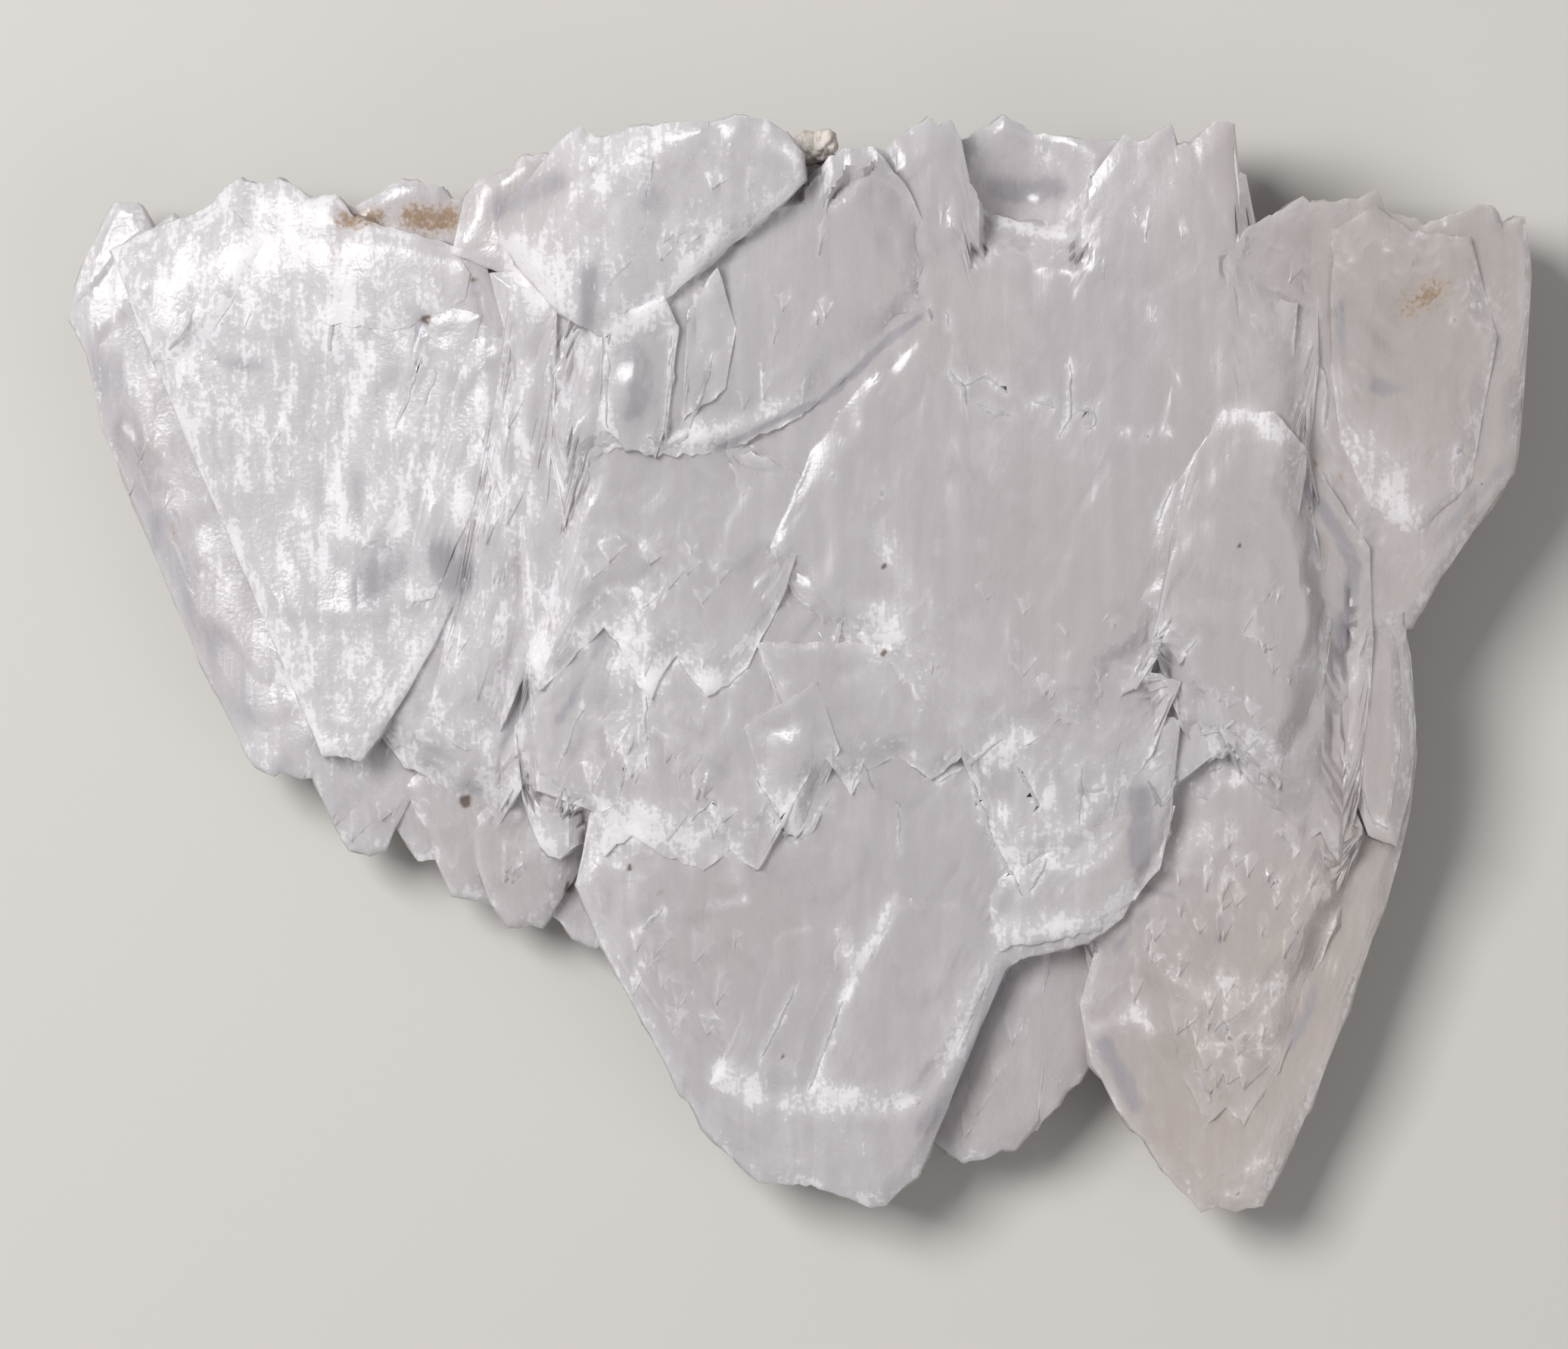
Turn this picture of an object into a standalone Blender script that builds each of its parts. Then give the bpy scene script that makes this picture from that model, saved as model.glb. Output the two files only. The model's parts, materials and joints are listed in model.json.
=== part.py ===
"""Angel wing selenite: a hand specimen of gypsum blades grown side by side and over one another.

The specimen lies on its cleaved back. Every blade is a flat plate: a rim outline in plan, a
sloping top face, a sloping underside and a bevel round both. The blades point towards -Y, their
broken roots are at +Y, and one Boolean union grows them into a single solid. A crumb of the
pale rock that they grew on still sits in a notch between two roots.

Outlines and heights are in millimetres of a drawing that is 97 wide and 26 high. MM and MM_UP
turn them into real metres.
"""

import bmesh
import bpy

# Driving dimensions, in millimetres.
SPECIMEN_WIDTH = 90.0  # along X, from the left rim to the right shoulder
SPECIMEN_THICKNESS = 24.0  # the highest root above the cleaved back

# The drawing's own sizes, in its millimetres.
DRAWN_WIDTH = 97.0  # the width that the outlines below are drawn at
DRAWN_THICKNESS = 26.0  # the height that the levels below are drawn at
BEVEL_RISE = 0.9  # height of the bevel under each top face
UNDER_BEVEL_RISE = 1.6  # height of the bevel over each underside
BEVEL_SHRINK = 0.955  # a top face's size over its rim's
UNDER_SHRINK = 0.88  # an underside's size over its rim's
CRUMB_GAP = 0.35  # the air round the crumb of rock

MM = 0.001 * SPECIMEN_WIDTH / DRAWN_WIDTH
MM_UP = 0.001 * SPECIMEN_THICKNESS / DRAWN_THICKNESS

# Each blade has its rim in plan, the height of its top face at the tip and at the root, the
# rise of that face for each millimetre towards +X, and the height of its underside at the tip
# and at the root.
BLADES = {
    "cleaved_back": {
        "rim": [
            (-41.0, 23.3), (-36.0, 26.3), (-21.5, 27.8), (-7.5, 31.3), (5.0, 31.8), (17.5, 27.3),
            (28.5, 29.3), (42.5, 25.8), (42.5, 14.3), (37.0, 5.3), (37.5, -8.3), (34.0, -19.8),
            (28.5, -26.8), (23.5, -24.8), (19.0, -18.8), (12.5, -22.8), (6.5, -29.3),
            (-1.5, -28.3), (-8.5, -19.8), (-14.5, -12.3), (-22.5, -7.8), (-31.0, -3.8),
            (-36.0, 6.3), (-40.0, 14.3),
        ],
        "top": (6.6, 7.4), "rise_x": 0.0, "under": (0.0, 0.0),
    },
    "left_rim": {
        "rim": [
            (-45.7, 30.3), (-47.4, 27.0), (-48.3, 23.4), (-47.1, 20.9), (-46.6, 18.6),
            (-46.3, 17.0), (-46.5, 16.2), (-44.8, 13.0), (-42.5, 7.2), (-39.5, 0.1),
            (-36.7, -5.4), (-36.1, -6.4), (-34.8, -7.1), (-34.2, -6.8), (-32.8, -7.3),
            (-29.0, -0.8), (-30.0, 14.3), (-36.0, 27.3), (-41.3, 30.1), (-42.7, 29.4),
            (-43.7, 31.1), (-45.3, 31.1),
        ],
        "top": (7.6, 10.2), "rise_x": 0.14, "under": (3.4, 2.6),
    },
    "left_second": {
        "rim": [
            (-35.5, 1.8), (-32.8, -7.3), (-32.1, -7.2), (-30.3, -11.4), (-29.8, -12.0),
            (-28.4, -12.4), (-27.3, -12.0), (-26.6, -10.6), (-22.5, -2.8), (-24.5, 5.3),
        ],
        "top": (7.2, 11.0), "rise_x": 0.05, "under": (3.2, 2.4),
    },
    "stair_1": {
        "rim": [
            (-28.5, -5.8), (-26.6, -10.6), (-25.2, -12.8), (-24.0, -12.7), (-20.5, -7.8),
            (-19.5, -2.8), (-24.5, -0.8),
        ],
        "top": (6.8, 10.2), "rise_x": 0.0, "under": (2.9, 2.3),
    },
    "stair_2": {
        "rim": [
            (-26.0, -7.8), (-24.0, -12.7), (-22.9, -15.1), (-21.1, -15.4), (-20.3, -15.7),
            (-17.5, -11.3), (-16.5, -5.8), (-22.5, -3.8),
        ],
        "top": (6.3, 9.6), "rise_x": 0.03, "under": (2.6, 2.0),
    },
    "stair_3": {
        "rim": [
            (-22.0, -10.8), (-20.3, -15.7), (-19.2, -17.2), (-18.4, -17.3), (-17.7, -17.1),
            (-16.9, -17.3), (-16.3, -16.5), (-13.0, -11.3), (-12.5, -6.3), (-18.5, -5.8),
        ],
        "top": (5.8, 9.4), "rise_x": 0.0, "under": (2.3, 1.8),
    },
    "stair_4": {
        "rim": [
            (-18.0, -12.3), (-16.3, -16.5), (-15.7, -17.0), (-14.8, -18.0), (-13.8, -18.5),
            (-13.3, -18.7), (-12.8, -18.3), (-9.0, -13.3), (-11.5, -8.3),
        ],
        "top": (4.6, 6.0), "rise_x": 0.0, "under": (1.8, 1.4),
    },
    "centre_spear": {
        "rim": [
            (-14.5, -14.3), (-12.8, -18.3), (-11.3, -21.2), (-8.7, -25.9), (-7.4, -28.5),
            (-6.9, -28.9), (-6.1, -30.6), (-4.2, -32.5), (-2.4, -34.2), (1.1, -34.4),
            (4.0, -35.4), (5.1, -35.9), (6.1, -35.8), (7.5, -34.3), (8.2, -33.9),
            (8.8, -32.6), (12.0, -24.8), (14.0, -20.0), (15.0, -19.2), (17.0, -18.8),
            (19.5, -18.1), (21.8, -16.5), (23.0, -14.0), (24.8, -10.8), (25.5, -3.3),
            (12.5, -0.8), (-7.5, 0.3), (-13.0, -7.3),
        ],
        "top": (8.4, 15.2), "rise_x": 0.02, "under": (4.0, 1.6),
    },
    "valley_left": {
        "rim": [
            (7.0, -26.8), (9.4, -31.6), (10.3, -32.4), (11.2, -33.0), (12.7, -32.8),
            (13.9, -32.1), (14.8, -32.1), (16.3, -30.3), (17.5, -18.3), (11.5, -15.8),
        ],
        "top": (5.2, 7.6), "rise_x": 0.06, "under": (2.0, 1.4),
    },
    "valley_right": {
        "rim": [
            (14.8, -20.3), (15.3, -25.8), (15.6, -31.0), (16.3, -30.8), (16.8, -30.0),
            (17.7, -29.1), (18.2, -28.2), (19.1, -27.6), (19.8, -26.3), (23.5, -19.8),
            (18.5, -14.8),
        ],
        "top": (6.6, 9.6), "rise_x": -0.05, "under": (2.6, 1.6),
    },
    "right_spear": {
        "rim": [
            (19.0, -22.3), (19.8, -26.3), (20.5, -27.3), (21.5, -29.3), (22.5, -30.7),
            (23.4, -31.4), (24.5, -33.3), (25.5, -34.5), (26.6, -35.5), (27.2, -36.3),
            (28.2, -35.8), (29.5, -36.2), (31.3, -35.8), (32.6, -33.3), (34.5, -29.3),
            (35.7, -26.0), (37.1, -22.4), (38.6, -17.9), (39.5, -15.8), (40.4, -12.5),
            (41.1, -9.5), (41.5, -5.7), (41.2, -2.1), (40.8, 0.9), (40.8, 2.9), (39.0, 7.3),
            (32.5, 7.3), (23.5, -5.8),
        ],
        "top": (7.4, 11.6), "rise_x": -0.10, "under": (3.6, 1.8),
    },
    "right_spear_upper": {
        "rim": [
            (18.5, -15.8), (20.0, -21.3), (21.3, -23.4), (22.5, -22.8), (24.0, -24.3),
            (26.3, -27.8), (27.5, -30.3), (28.8, -29.3), (30.0, -30.3), (32.4, -26.7),
            (34.7, -20.5), (36.5, -15.8), (37.9, -10.8), (35.7, -6.1), (34.5, 1.3),
            (27.5, 4.3), (20.0, -5.8),
        ],
        "top": (9.0, 13.8), "rise_x": -0.04, "under": (5.0, 3.0),
    },
    "right_lobe": {
        "rim": [
            (37.0, 7.3), (36.0, 0.8), (35.8, -5.8), (37.5, -9.3), (38.1, -11.0), (40.0, -11.8),
            (40.9, -8.3), (41.3, -3.8), (40.9, 0.8), (40.0, 4.8),
        ],
        "top": (11.4, 13.6), "rise_x": -0.16, "under": (5.0, 4.0),
    },
    "right_shoulder": {
        "rim": [
            (30.2, 29.2), (31.3, 29.8), (33.4, 31.0), (33.8, 30.7), (34.6, 30.6), (37.2, 31.0),
            (38.3, 31.6), (38.9, 30.1), (40.8, 29.7), (41.4, 29.2), (43.4, 30.0), (45.5, 30.7),
            (46.1, 30.4), (46.7, 29.5), (47.6, 29.9), (48.3, 29.9), (48.7, 26.0), (48.5, 21.8),
            (48.2, 17.1), (47.6, 13.0), (45.2, 9.4), (42.9, 6.2), (40.8, 2.9), (37.0, 1.8),
            (34.0, 9.3), (29.5, 16.3), (27.5, 27.8),
        ],
        "top": (12.6, 16.4), "rise_x": -0.22, "under": (4.4, 2.6),
    },
    "left_wing": {
        "rim": [
            (-45.3, 27.8), (-40.5, 15.8), (-36.0, 5.3), (-33.9, 0.3), (-31.3, -5.8),
            (-30.3, -5.7), (-28.8, -6.1), (-27.5, -4.5), (-25.3, -1.0), (-22.5, 4.3),
            (-19.5, 12.3), (-18.5, 21.3), (-20.5, 27.3), (-29.0, 29.8), (-29.9, 30.9),
            (-30.3, 31.4), (-31.9, 31.1), (-32.9, 31.9), (-34.0, 32.4), (-35.6, 32.1),
            (-36.6, 32.5), (-37.7, 31.9), (-38.4, 30.9), (-39.8, 30.1), (-42.0, 29.5),
        ],
        "top": (11.2, 16.2), "rise_x": 0.15, "under": (5.0, 3.0),
    },
    "left_lobe": {
        "rim": [
            (-33.5, 29.3), (-31.0, 22.8), (-26.5, 22.3), (-23.0, 23.3), (-21.6, 24.5),
            (-21.3, 26.0), (-22.3, 27.5), (-24.5, 28.4), (-27.5, 29.0), (-30.5, 29.3),
        ],
        "top": (17.6, 18.2), "rise_x": 0.10, "under": (8.0, 8.0),
    },
    "left_root": {
        "rim": [
            (-29.9, 30.9), (-29.1, 30.6), (-27.9, 31.2), (-26.3, 32.3), (-24.8, 32.3),
            (-23.3, 32.0), (-22.7, 31.1), (-21.7, 31.0), (-20.5, 27.8), (-24.5, 27.3),
            (-29.5, 28.3),
        ],
        "top": (13.0, 13.8), "rise_x": 0.0, "under": (5.0, 4.0),
    },
    "streak_1": {
        "rim": [
            (-24.5, 24.3), (-27.5, 16.3), (-29.0, 9.3), (-28.6, 7.8), (-26.5, 8.3),
            (-22.5, 16.3), (-20.5, 23.3),
        ],
        "top": (15.0, 18.6), "rise_x": 0.06, "under": (8.0, 8.0),
    },
    "streak_2": {
        "rim": [
            (-21.5, 21.8), (-24.0, 14.3), (-25.5, 6.8), (-25.3, 4.3), (-23.8, 4.8),
            (-20.5, 12.3), (-18.0, 21.8),
        ],
        "top": (14.8, 19.6), "rise_x": 0.05, "under": (8.0, 8.0),
    },
    "streak_3": {
        "rim": [
            (-18.5, 25.3), (-20.5, 14.3), (-22.5, 4.3), (-24.5, -3.8), (-22.5, -5.0),
            (-20.0, -5.8), (-19.3, -3.8), (-17.3, 0.8), (-16.5, 8.3), (-15.8, 16.3),
            (-15.5, 24.3),
        ],
        "top": (12.8, 20.6), "rise_x": 0.04, "under": (6.0, 5.0),
    },
    "left_apron": {
        "rim": [
            (-27.5, 1.3), (-28.0, -3.8), (-26.0, -6.3), (-24.3, -7.3), (-22.5, -9.8),
            (-21.3, -8.8), (-19.8, -10.5), (-18.0, -7.8), (-16.5, -2.8), (-15.5, 4.3),
            (-22.5, 6.3),
        ],
        "top": (10.2, 13.8), "rise_x": 0.04, "under": (4.0, 3.0),
    },
    "centre_apron": {
        "rim": [
            (-17.5, 0.3), (-18.5, -3.8), (-18.0, -8.8), (-16.8, -11.8), (-15.5, -12.7),
            (-14.0, -11.5), (-12.5, -12.3), (-10.8, -11.0), (-8.5, -12.3), (-6.0, -13.3),
            (-4.3, -12.0), (-2.5, -13.3), (-1.5, -11.8), (1.5, -5.8), (2.5, 1.8),
            (-10.0, 5.3),
        ],
        "top": (13.2, 16.8), "rise_x": 0.03, "under": (5.0, 4.0),
    },
    "pale_fang": {
        "rim": [
            (-3.3, -3.8), (-2.0, -7.8), (-0.5, -10.8), (0.1, -11.2), (1.3, -9.5), (3.0, -5.3),
            (1.5, -0.8),
        ],
        "top": (15.2, 17.0), "rise_x": 0.0, "under": (9.0, 9.0),
    },
    "toothed_layer": {
        "rim": [
            (-15.3, 9.8), (-16.4, 4.3), (-17.5, 0.3), (-16.9, -1.5), (-15.6, -0.3),
            (-14.5, 0.9), (-12.5, 2.8), (-11.3, 1.2), (-10.3, -1.0), (-9.4, -1.9), (-8.5, 0.0),
            (-7.7, 0.9), (-6.8, -0.5), (-5.8, -1.8), (-4.3, -1.0), (-3.0, 0.3), (-0.5, 5.3),
            (1.5, 12.3), (-7.5, 16.3), (-13.5, 14.8),
        ],
        "top": (17.0, 19.4), "rise_x": 0.0, "under": (8.0, 8.0),
    },
    "centre_ledge": {
        "rim": [
            (-2.5, 1.8), (-0.5, -3.8), (2.5, -6.3), (3.8, -8.3), (5.0, -6.5), (7.0, -5.8),
            (9.0, -7.3), (11.0, -5.8), (12.5, 1.8),
        ],
        "top": (15.4, 16.8), "rise_x": 0.0, "under": (8.0, 8.0),
    },
    "twin_fang": {
        "rim": [
            (11.0, -5.8), (12.5, -9.3), (14.5, -14.0), (15.1, -15.0), (16.7, -12.4),
            (17.5, -13.2), (19.3, -12.9), (21.0, -11.0), (21.6, -8.3), (23.5, -5.8),
            (25.5, -0.8), (17.5, 1.8), (10.0, 0.3),
        ],
        "top": (14.2, 16.6), "rise_x": -0.03, "under": (6.0, 5.0),
    },
    "right_pane": {
        "rim": [
            (28.1, 17.0), (26.5, 14.3), (24.8, 9.3), (23.5, 1.8), (25.5, -3.8), (27.5, -6.3),
            (29.5, -5.0), (32.0, -7.8), (33.5, -5.3), (35.0, -0.8), (35.8, 4.3), (34.8, 9.8),
            (33.8, 14.3), (31.5, 16.8),
        ],
        "top": (15.6, 20.2), "rise_x": -0.06, "under": (6.0, 5.0),
    },
    "great_pane": {
        "rim": [
            (3.3, 32.3), (5.2, 34.1), (5.9, 34.0), (7.4, 35.3), (8.8, 36.1), (9.5, 35.6),
            (10.2, 36.0), (10.9, 34.8), (11.5, 31.8), (12.8, 30.0), (15.5, 29.3), (18.0, 30.0),
            (19.5, 32.3), (21.0, 34.3), (21.7, 35.0), (22.5, 34.4), (24.7, 35.7), (25.0, 34.3),
            (26.0, 34.4), (27.5, 35.9), (28.8, 35.8), (29.1, 32.5), (29.6, 32.3), (30.2, 29.2),
            (30.8, 27.3), (34.4, 25.0), (34.5, 20.3), (34.1, 16.3), (33.5, 12.3), (32.5, 6.3),
            (30.5, 1.8), (28.5, 2.8), (27.0, 0.3), (26.3, 1.9), (25.3, 0.3), (24.5, 1.8),
            (22.5, -1.3), (21.0, -1.8), (19.5, -3.8), (17.5, -3.3), (15.5, -5.0), (14.0, -4.5),
            (12.0, -6.3), (9.5, -3.8), (6.5, 0.3), (2.5, 1.3), (-0.5, 4.3), (-2.5, 9.3),
            (-4.5, 14.3), (-2.5, 21.8), (1.5, 29.3),
        ],
        "top": (17.6, 21.4), "rise_x": -0.01, "under": (6.0, 4.0),
    },
    "scoop_fin": {
        "rim": [
            (10.6, 34.5), (12.3, 35.5), (13.8, 36.4), (14.7, 35.9), (16.0, 35.2), (19.8, 34.7),
            (21.3, 34.8), (20.0, 30.3), (17.5, 27.8), (12.0, 27.8),
        ],
        "top": (17.2, 14.4), "rise_x": 0.0, "under": (8.0, 9.0),
    },
    "upper_pane": {
        "rim": [
            (0.7, 31.8), (2.4, 33.5), (3.3, 33.9), (5.2, 34.0), (7.5, 31.3), (9.3, 27.3),
            (9.5, 24.8), (8.9, 23.9), (6.5, 22.3), (3.3, 18.9), (0.0, 16.3), (-3.0, 15.0),
            (-5.5, 14.1), (-8.9, 14.0), (-10.0, 15.0), (-12.5, 14.3), (-14.1, 13.0),
            (-15.1, 9.5), (-16.0, 14.3), (-16.3, 19.3), (-14.5, 23.3), (-7.5, 30.3),
        ],
        "top": (20.4, 23.2), "rise_x": 0.0, "under": (8.0, 6.0),
    },
    "streak_4": {
        "rim": [
            (-12.5, 22.8), (-12.8, 16.3), (-11.0, 14.4), (-9.1, 13.9), (-8.3, 16.3),
            (-7.5, 22.3), (-8.5, 24.3),
        ],
        "top": (21.6, 23.6), "rise_x": 0.05, "under": (9.0, 9.0),
    },
    "streak_5": {
        "rim": [(-7.0, 23.3), (-7.3, 16.3), (-4.5, 18.3), (-3.8, 22.3), (-5.0, 26.3)],
        "top": (21.4, 23.8), "rise_x": -0.05, "under": (9.0, 9.0),
    },
    "back_root": {
        "rim": [
            (-21.7, 31.0), (-20.8, 32.1), (-19.2, 32.6), (-17.7, 33.8), (-16.3, 33.8),
            (-14.5, 32.8), (-12.5, 27.8), (-17.5, 25.3), (-22.5, 27.3),
        ],
        "top": (17.6, 18.0), "rise_x": 0.05, "under": (6.0, 5.0),
    },
    "crown_pane": {
        "rim": [
            (-20.5, 29.3), (-17.7, 31.8), (-15.3, 34.5), (-14.0, 35.3), (-13.4, 34.8),
            (-12.5, 34.6), (-10.8, 35.1), (-9.0, 35.3), (-6.9, 35.5), (-4.8, 35.5),
            (-3.7, 35.9), (-1.9, 35.7), (-0.6, 34.9), (0.5, 33.5), (0.7, 31.8), (-0.5, 30.5),
            (-2.5, 28.8), (-5.5, 26.5), (-8.5, 24.0), (-11.0, 22.3), (-12.8, 21.8),
            (-15.5, 23.3), (-18.0, 26.3),
        ],
        "top": (23.4, 25.6), "rise_x": 0.04, "under": (8.0, 6.0),
    },
    "crumb_ledge": {
        "rim": [
            (-3.5, 34.3), (-0.8, 34.3), (0.5, 34.5), (2.5, 34.0), (4.5, 33.5), (5.0, 29.3),
            (-3.5, 29.3),
        ],
        "top": (15.0, 15.0), "rise_x": 0.0, "under": (6.0, 6.0),
    },
}

# The crumb of rock: its outline at half height, and its lowest and highest level.
CRUMB_RIM = [
    (-0.1, 35.2), (0.5, 35.5), (2.1, 35.5), (2.5, 34.7), (2.9, 34.3), (2.4, 33.9), (1.4, 33.0),
    (0.95, 33.4),
]
CRUMB_LEVELS = (15.0 + CRUMB_GAP, 20.4)
CRUMB_SHRINK = 0.72

SELENITE = {"colour": (0.62, 0.61, 0.62, 1.0), "roughness": 0.35, "transmission": 0.3}
ROCK = {"colour": (0.66, 0.54, 0.42, 1.0), "roughness": 0.85, "transmission": 0.0}


def plan_centre():
    """The middle of the box round all the rims, which becomes the origin."""
    points = [point for blade in BLADES.values() for point in blade["rim"]]
    xs = [x for x, _ in points]
    ys = [y for _, y in points]
    return (min(xs) + max(xs)) / 2, (min(ys) + max(ys)) / 2


CENTRE_X, CENTRE_Y = plan_centre()


def clear_scene():
    for old in list(bpy.data.objects):
        bpy.data.objects.remove(old, do_unlink=True)


def make_material(name, look):
    material = bpy.data.materials.new(name)
    material.use_nodes = True
    shader = material.node_tree.nodes["Principled BSDF"]
    shader.inputs["Base Color"].default_value = look["colour"]
    shader.inputs["Roughness"].default_value = look["roughness"]
    shader.inputs["Metallic"].default_value = 0.0
    shader.inputs["Transmission Weight"].default_value = look["transmission"]
    return material


def anticlockwise(outline):
    """The outline turned, if it needs it, so that a face made from it looks up."""
    twice_area = sum(
        ax * by - bx * ay for (ax, ay), (bx, by) in zip(outline, outline[1:] + outline[:1])
    )
    return outline if twice_area > 0 else outline[::-1]


def middle(outline):
    return (
        sum(x for x, _ in outline) / len(outline),
        sum(y for _, y in outline) / len(outline),
    )


def shrunk(outline, share):
    """The outline drawn in towards its middle, to that share of its size."""
    mx, my = middle(outline)
    return [(mx + (x - mx) * share, my + (y - my) * share) for x, y in outline]


def sloping(outline, levels, rise_x):
    """A function for the height of a plane that passes from one level at the tip to another at
    the root, and rises towards +X."""
    tip = min(y for _, y in outline)
    root = max(y for _, y in outline)
    mid_x = middle(outline)[0]

    def height(x, y):
        share = (y - tip) / (root - tip)
        return levels[0] + (levels[1] - levels[0]) * share + rise_x * (x - mid_x)

    return height


def placed(x, y, z):
    """A point of the drawing in real metres, with the origin under the middle."""
    return (x - CENTRE_X) * MM, (y - CENTRE_Y) * MM, z * MM_UP


def lofted(rings):
    """A closed mesh through rings of points, lowest first, with a face over each end."""
    shape = bmesh.new()
    loops = [[shape.verts.new(point) for point in ring] for ring in rings]
    for low, high in zip(loops, loops[1:]):
        for i in range(len(low)):
            j = (i + 1) % len(low)
            shape.faces.new((low[i], low[j], high[j], high[i]))
    shape.faces.new(loops[0][::-1])
    shape.faces.new(loops[-1])
    return shape


def blade_shape(blade):
    rim = anticlockwise(blade["rim"])
    top = sloping(rim, blade["top"], blade["rise_x"])
    under = sloping(rim, blade["under"], 0.0)
    levels = [
        (shrunk(rim, UNDER_SHRINK), under, 0.0),
        (rim, under, UNDER_BEVEL_RISE),
        (rim, top, -BEVEL_RISE),
        (shrunk(rim, BEVEL_SHRINK), top, 0.0),
    ]
    rings = [
        [placed(x, y, plane(x, y) + lift) for x, y in outline] for outline, plane, lift in levels
    ]
    return lofted(rings)


def crumb_shape():
    low, high = CRUMB_LEVELS
    rim = anticlockwise(CRUMB_RIM)
    levels = [
        (shrunk(rim, CRUMB_SHRINK), low),
        (rim, low + 0.25 * (high - low)),
        (rim, low + 0.75 * (high - low)),
        (shrunk(rim, CRUMB_SHRINK), high),
    ]
    rings = [[placed(x, y, z) for x, y in outline] for outline, z in levels]
    return lofted(rings)


def make_object(name, shape, collection):
    mesh = bpy.data.meshes.new(name)
    shape.to_mesh(mesh)
    shape.free()
    made = bpy.data.objects.new(name, mesh)
    collection.objects.link(made)
    return made


def grow_blades(collection):
    """One object for each blade, as guides for the union."""
    for name, blade in BLADES.items():
        made = make_object("blade_" + name, blade_shape(blade), collection)
        made.hide_render = True
        made.display_type = "WIRE"


def make_selenite(scene_collection):
    """The wing itself: the cleaved back, joined with every blade that grew on it."""
    blades = bpy.data.collections.new("blades")
    blades.hide_render = True
    scene_collection.children.link(blades)
    grow_blades(blades)
    first = next(iter(BLADES))
    wing = make_object("selenite_wing", blade_shape(BLADES[first]), scene_collection)
    wing.data.materials.append(make_material("selenite", SELENITE))
    union = wing.modifiers.new("grown_together", "BOOLEAN")
    union.operation = "UNION"
    union.operand_type = "COLLECTION"
    union.collection = blades
    union.solver = "EXACT"
    return wing


def make_crumb(scene_collection):
    crumb = make_object("matrix_crumb", crumb_shape(), scene_collection)
    crumb.data.materials.append(make_material("matrix_rock", ROCK))
    return crumb


def main():
    clear_scene()
    scene_collection = bpy.context.scene.collection
    make_selenite(scene_collection)
    make_crumb(scene_collection)


main()
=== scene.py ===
import functools
import json
import math

import bpy
import numpy as np
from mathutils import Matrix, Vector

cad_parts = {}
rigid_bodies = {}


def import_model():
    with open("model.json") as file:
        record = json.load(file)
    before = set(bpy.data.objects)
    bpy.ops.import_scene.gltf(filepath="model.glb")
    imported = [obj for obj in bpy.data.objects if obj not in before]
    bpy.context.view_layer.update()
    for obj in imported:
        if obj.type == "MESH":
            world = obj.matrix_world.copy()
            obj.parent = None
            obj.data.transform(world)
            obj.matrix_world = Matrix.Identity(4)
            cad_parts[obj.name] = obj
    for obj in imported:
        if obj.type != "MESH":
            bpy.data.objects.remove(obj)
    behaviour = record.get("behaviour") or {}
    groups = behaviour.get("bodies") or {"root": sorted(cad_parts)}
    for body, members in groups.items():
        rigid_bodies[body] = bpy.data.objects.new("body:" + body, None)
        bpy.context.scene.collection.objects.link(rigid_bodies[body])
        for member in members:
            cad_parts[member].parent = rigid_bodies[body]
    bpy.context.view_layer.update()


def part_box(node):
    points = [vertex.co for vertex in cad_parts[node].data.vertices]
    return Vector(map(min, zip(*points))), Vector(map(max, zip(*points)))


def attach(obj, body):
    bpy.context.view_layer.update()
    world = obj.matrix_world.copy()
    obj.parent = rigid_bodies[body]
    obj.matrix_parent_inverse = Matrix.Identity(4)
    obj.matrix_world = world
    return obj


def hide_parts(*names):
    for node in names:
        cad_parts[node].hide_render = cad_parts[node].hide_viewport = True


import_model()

bl_info = {
    "name": "Angel Wing Selenite",
    "version": (1, 0, 0),
    "blender": (4, 5, 0),
    "location": "View3D > Sidebar > Selenite",
    "description": "A hand specimen of gypsum blades with a crumb of its rock, on a studio floor",
    "category": "Add Mesh",
}

# The drawing. Outlines and levels below are in millimetres of a drawing whose plan is 97 wide,
# and whose highest point is at level 25.8. Its unit follows from the frame's own box.
DRAWN_WIDTH = 97.0
DRAWN_TOP = 25.8
DRAWN_CENTRE = np.array([0.2, 0.05])
WING_LOW, WING_HIGH = (np.array(corner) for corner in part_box("selenite_wing"))
UNIT = (WING_HIGH[0] - WING_LOW[0]) / DRAWN_WIDTH
UNIT_UP = WING_HIGH[2] / DRAWN_TOP
PER_MM = 1000.0
DRAWN_SCALE = UNIT * PER_MM

# The picture's width in pixels, how many of them one millimetre takes, and the place of its
# middle on the floor in millimetres.
PHOTO_WIDTH = 2072
PHOTO_PIXELS_PER_MM = 21.52
PHOTO_MIDDLE = (-0.81, -0.35)
SENSOR_WIDTH = 36.0

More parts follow.
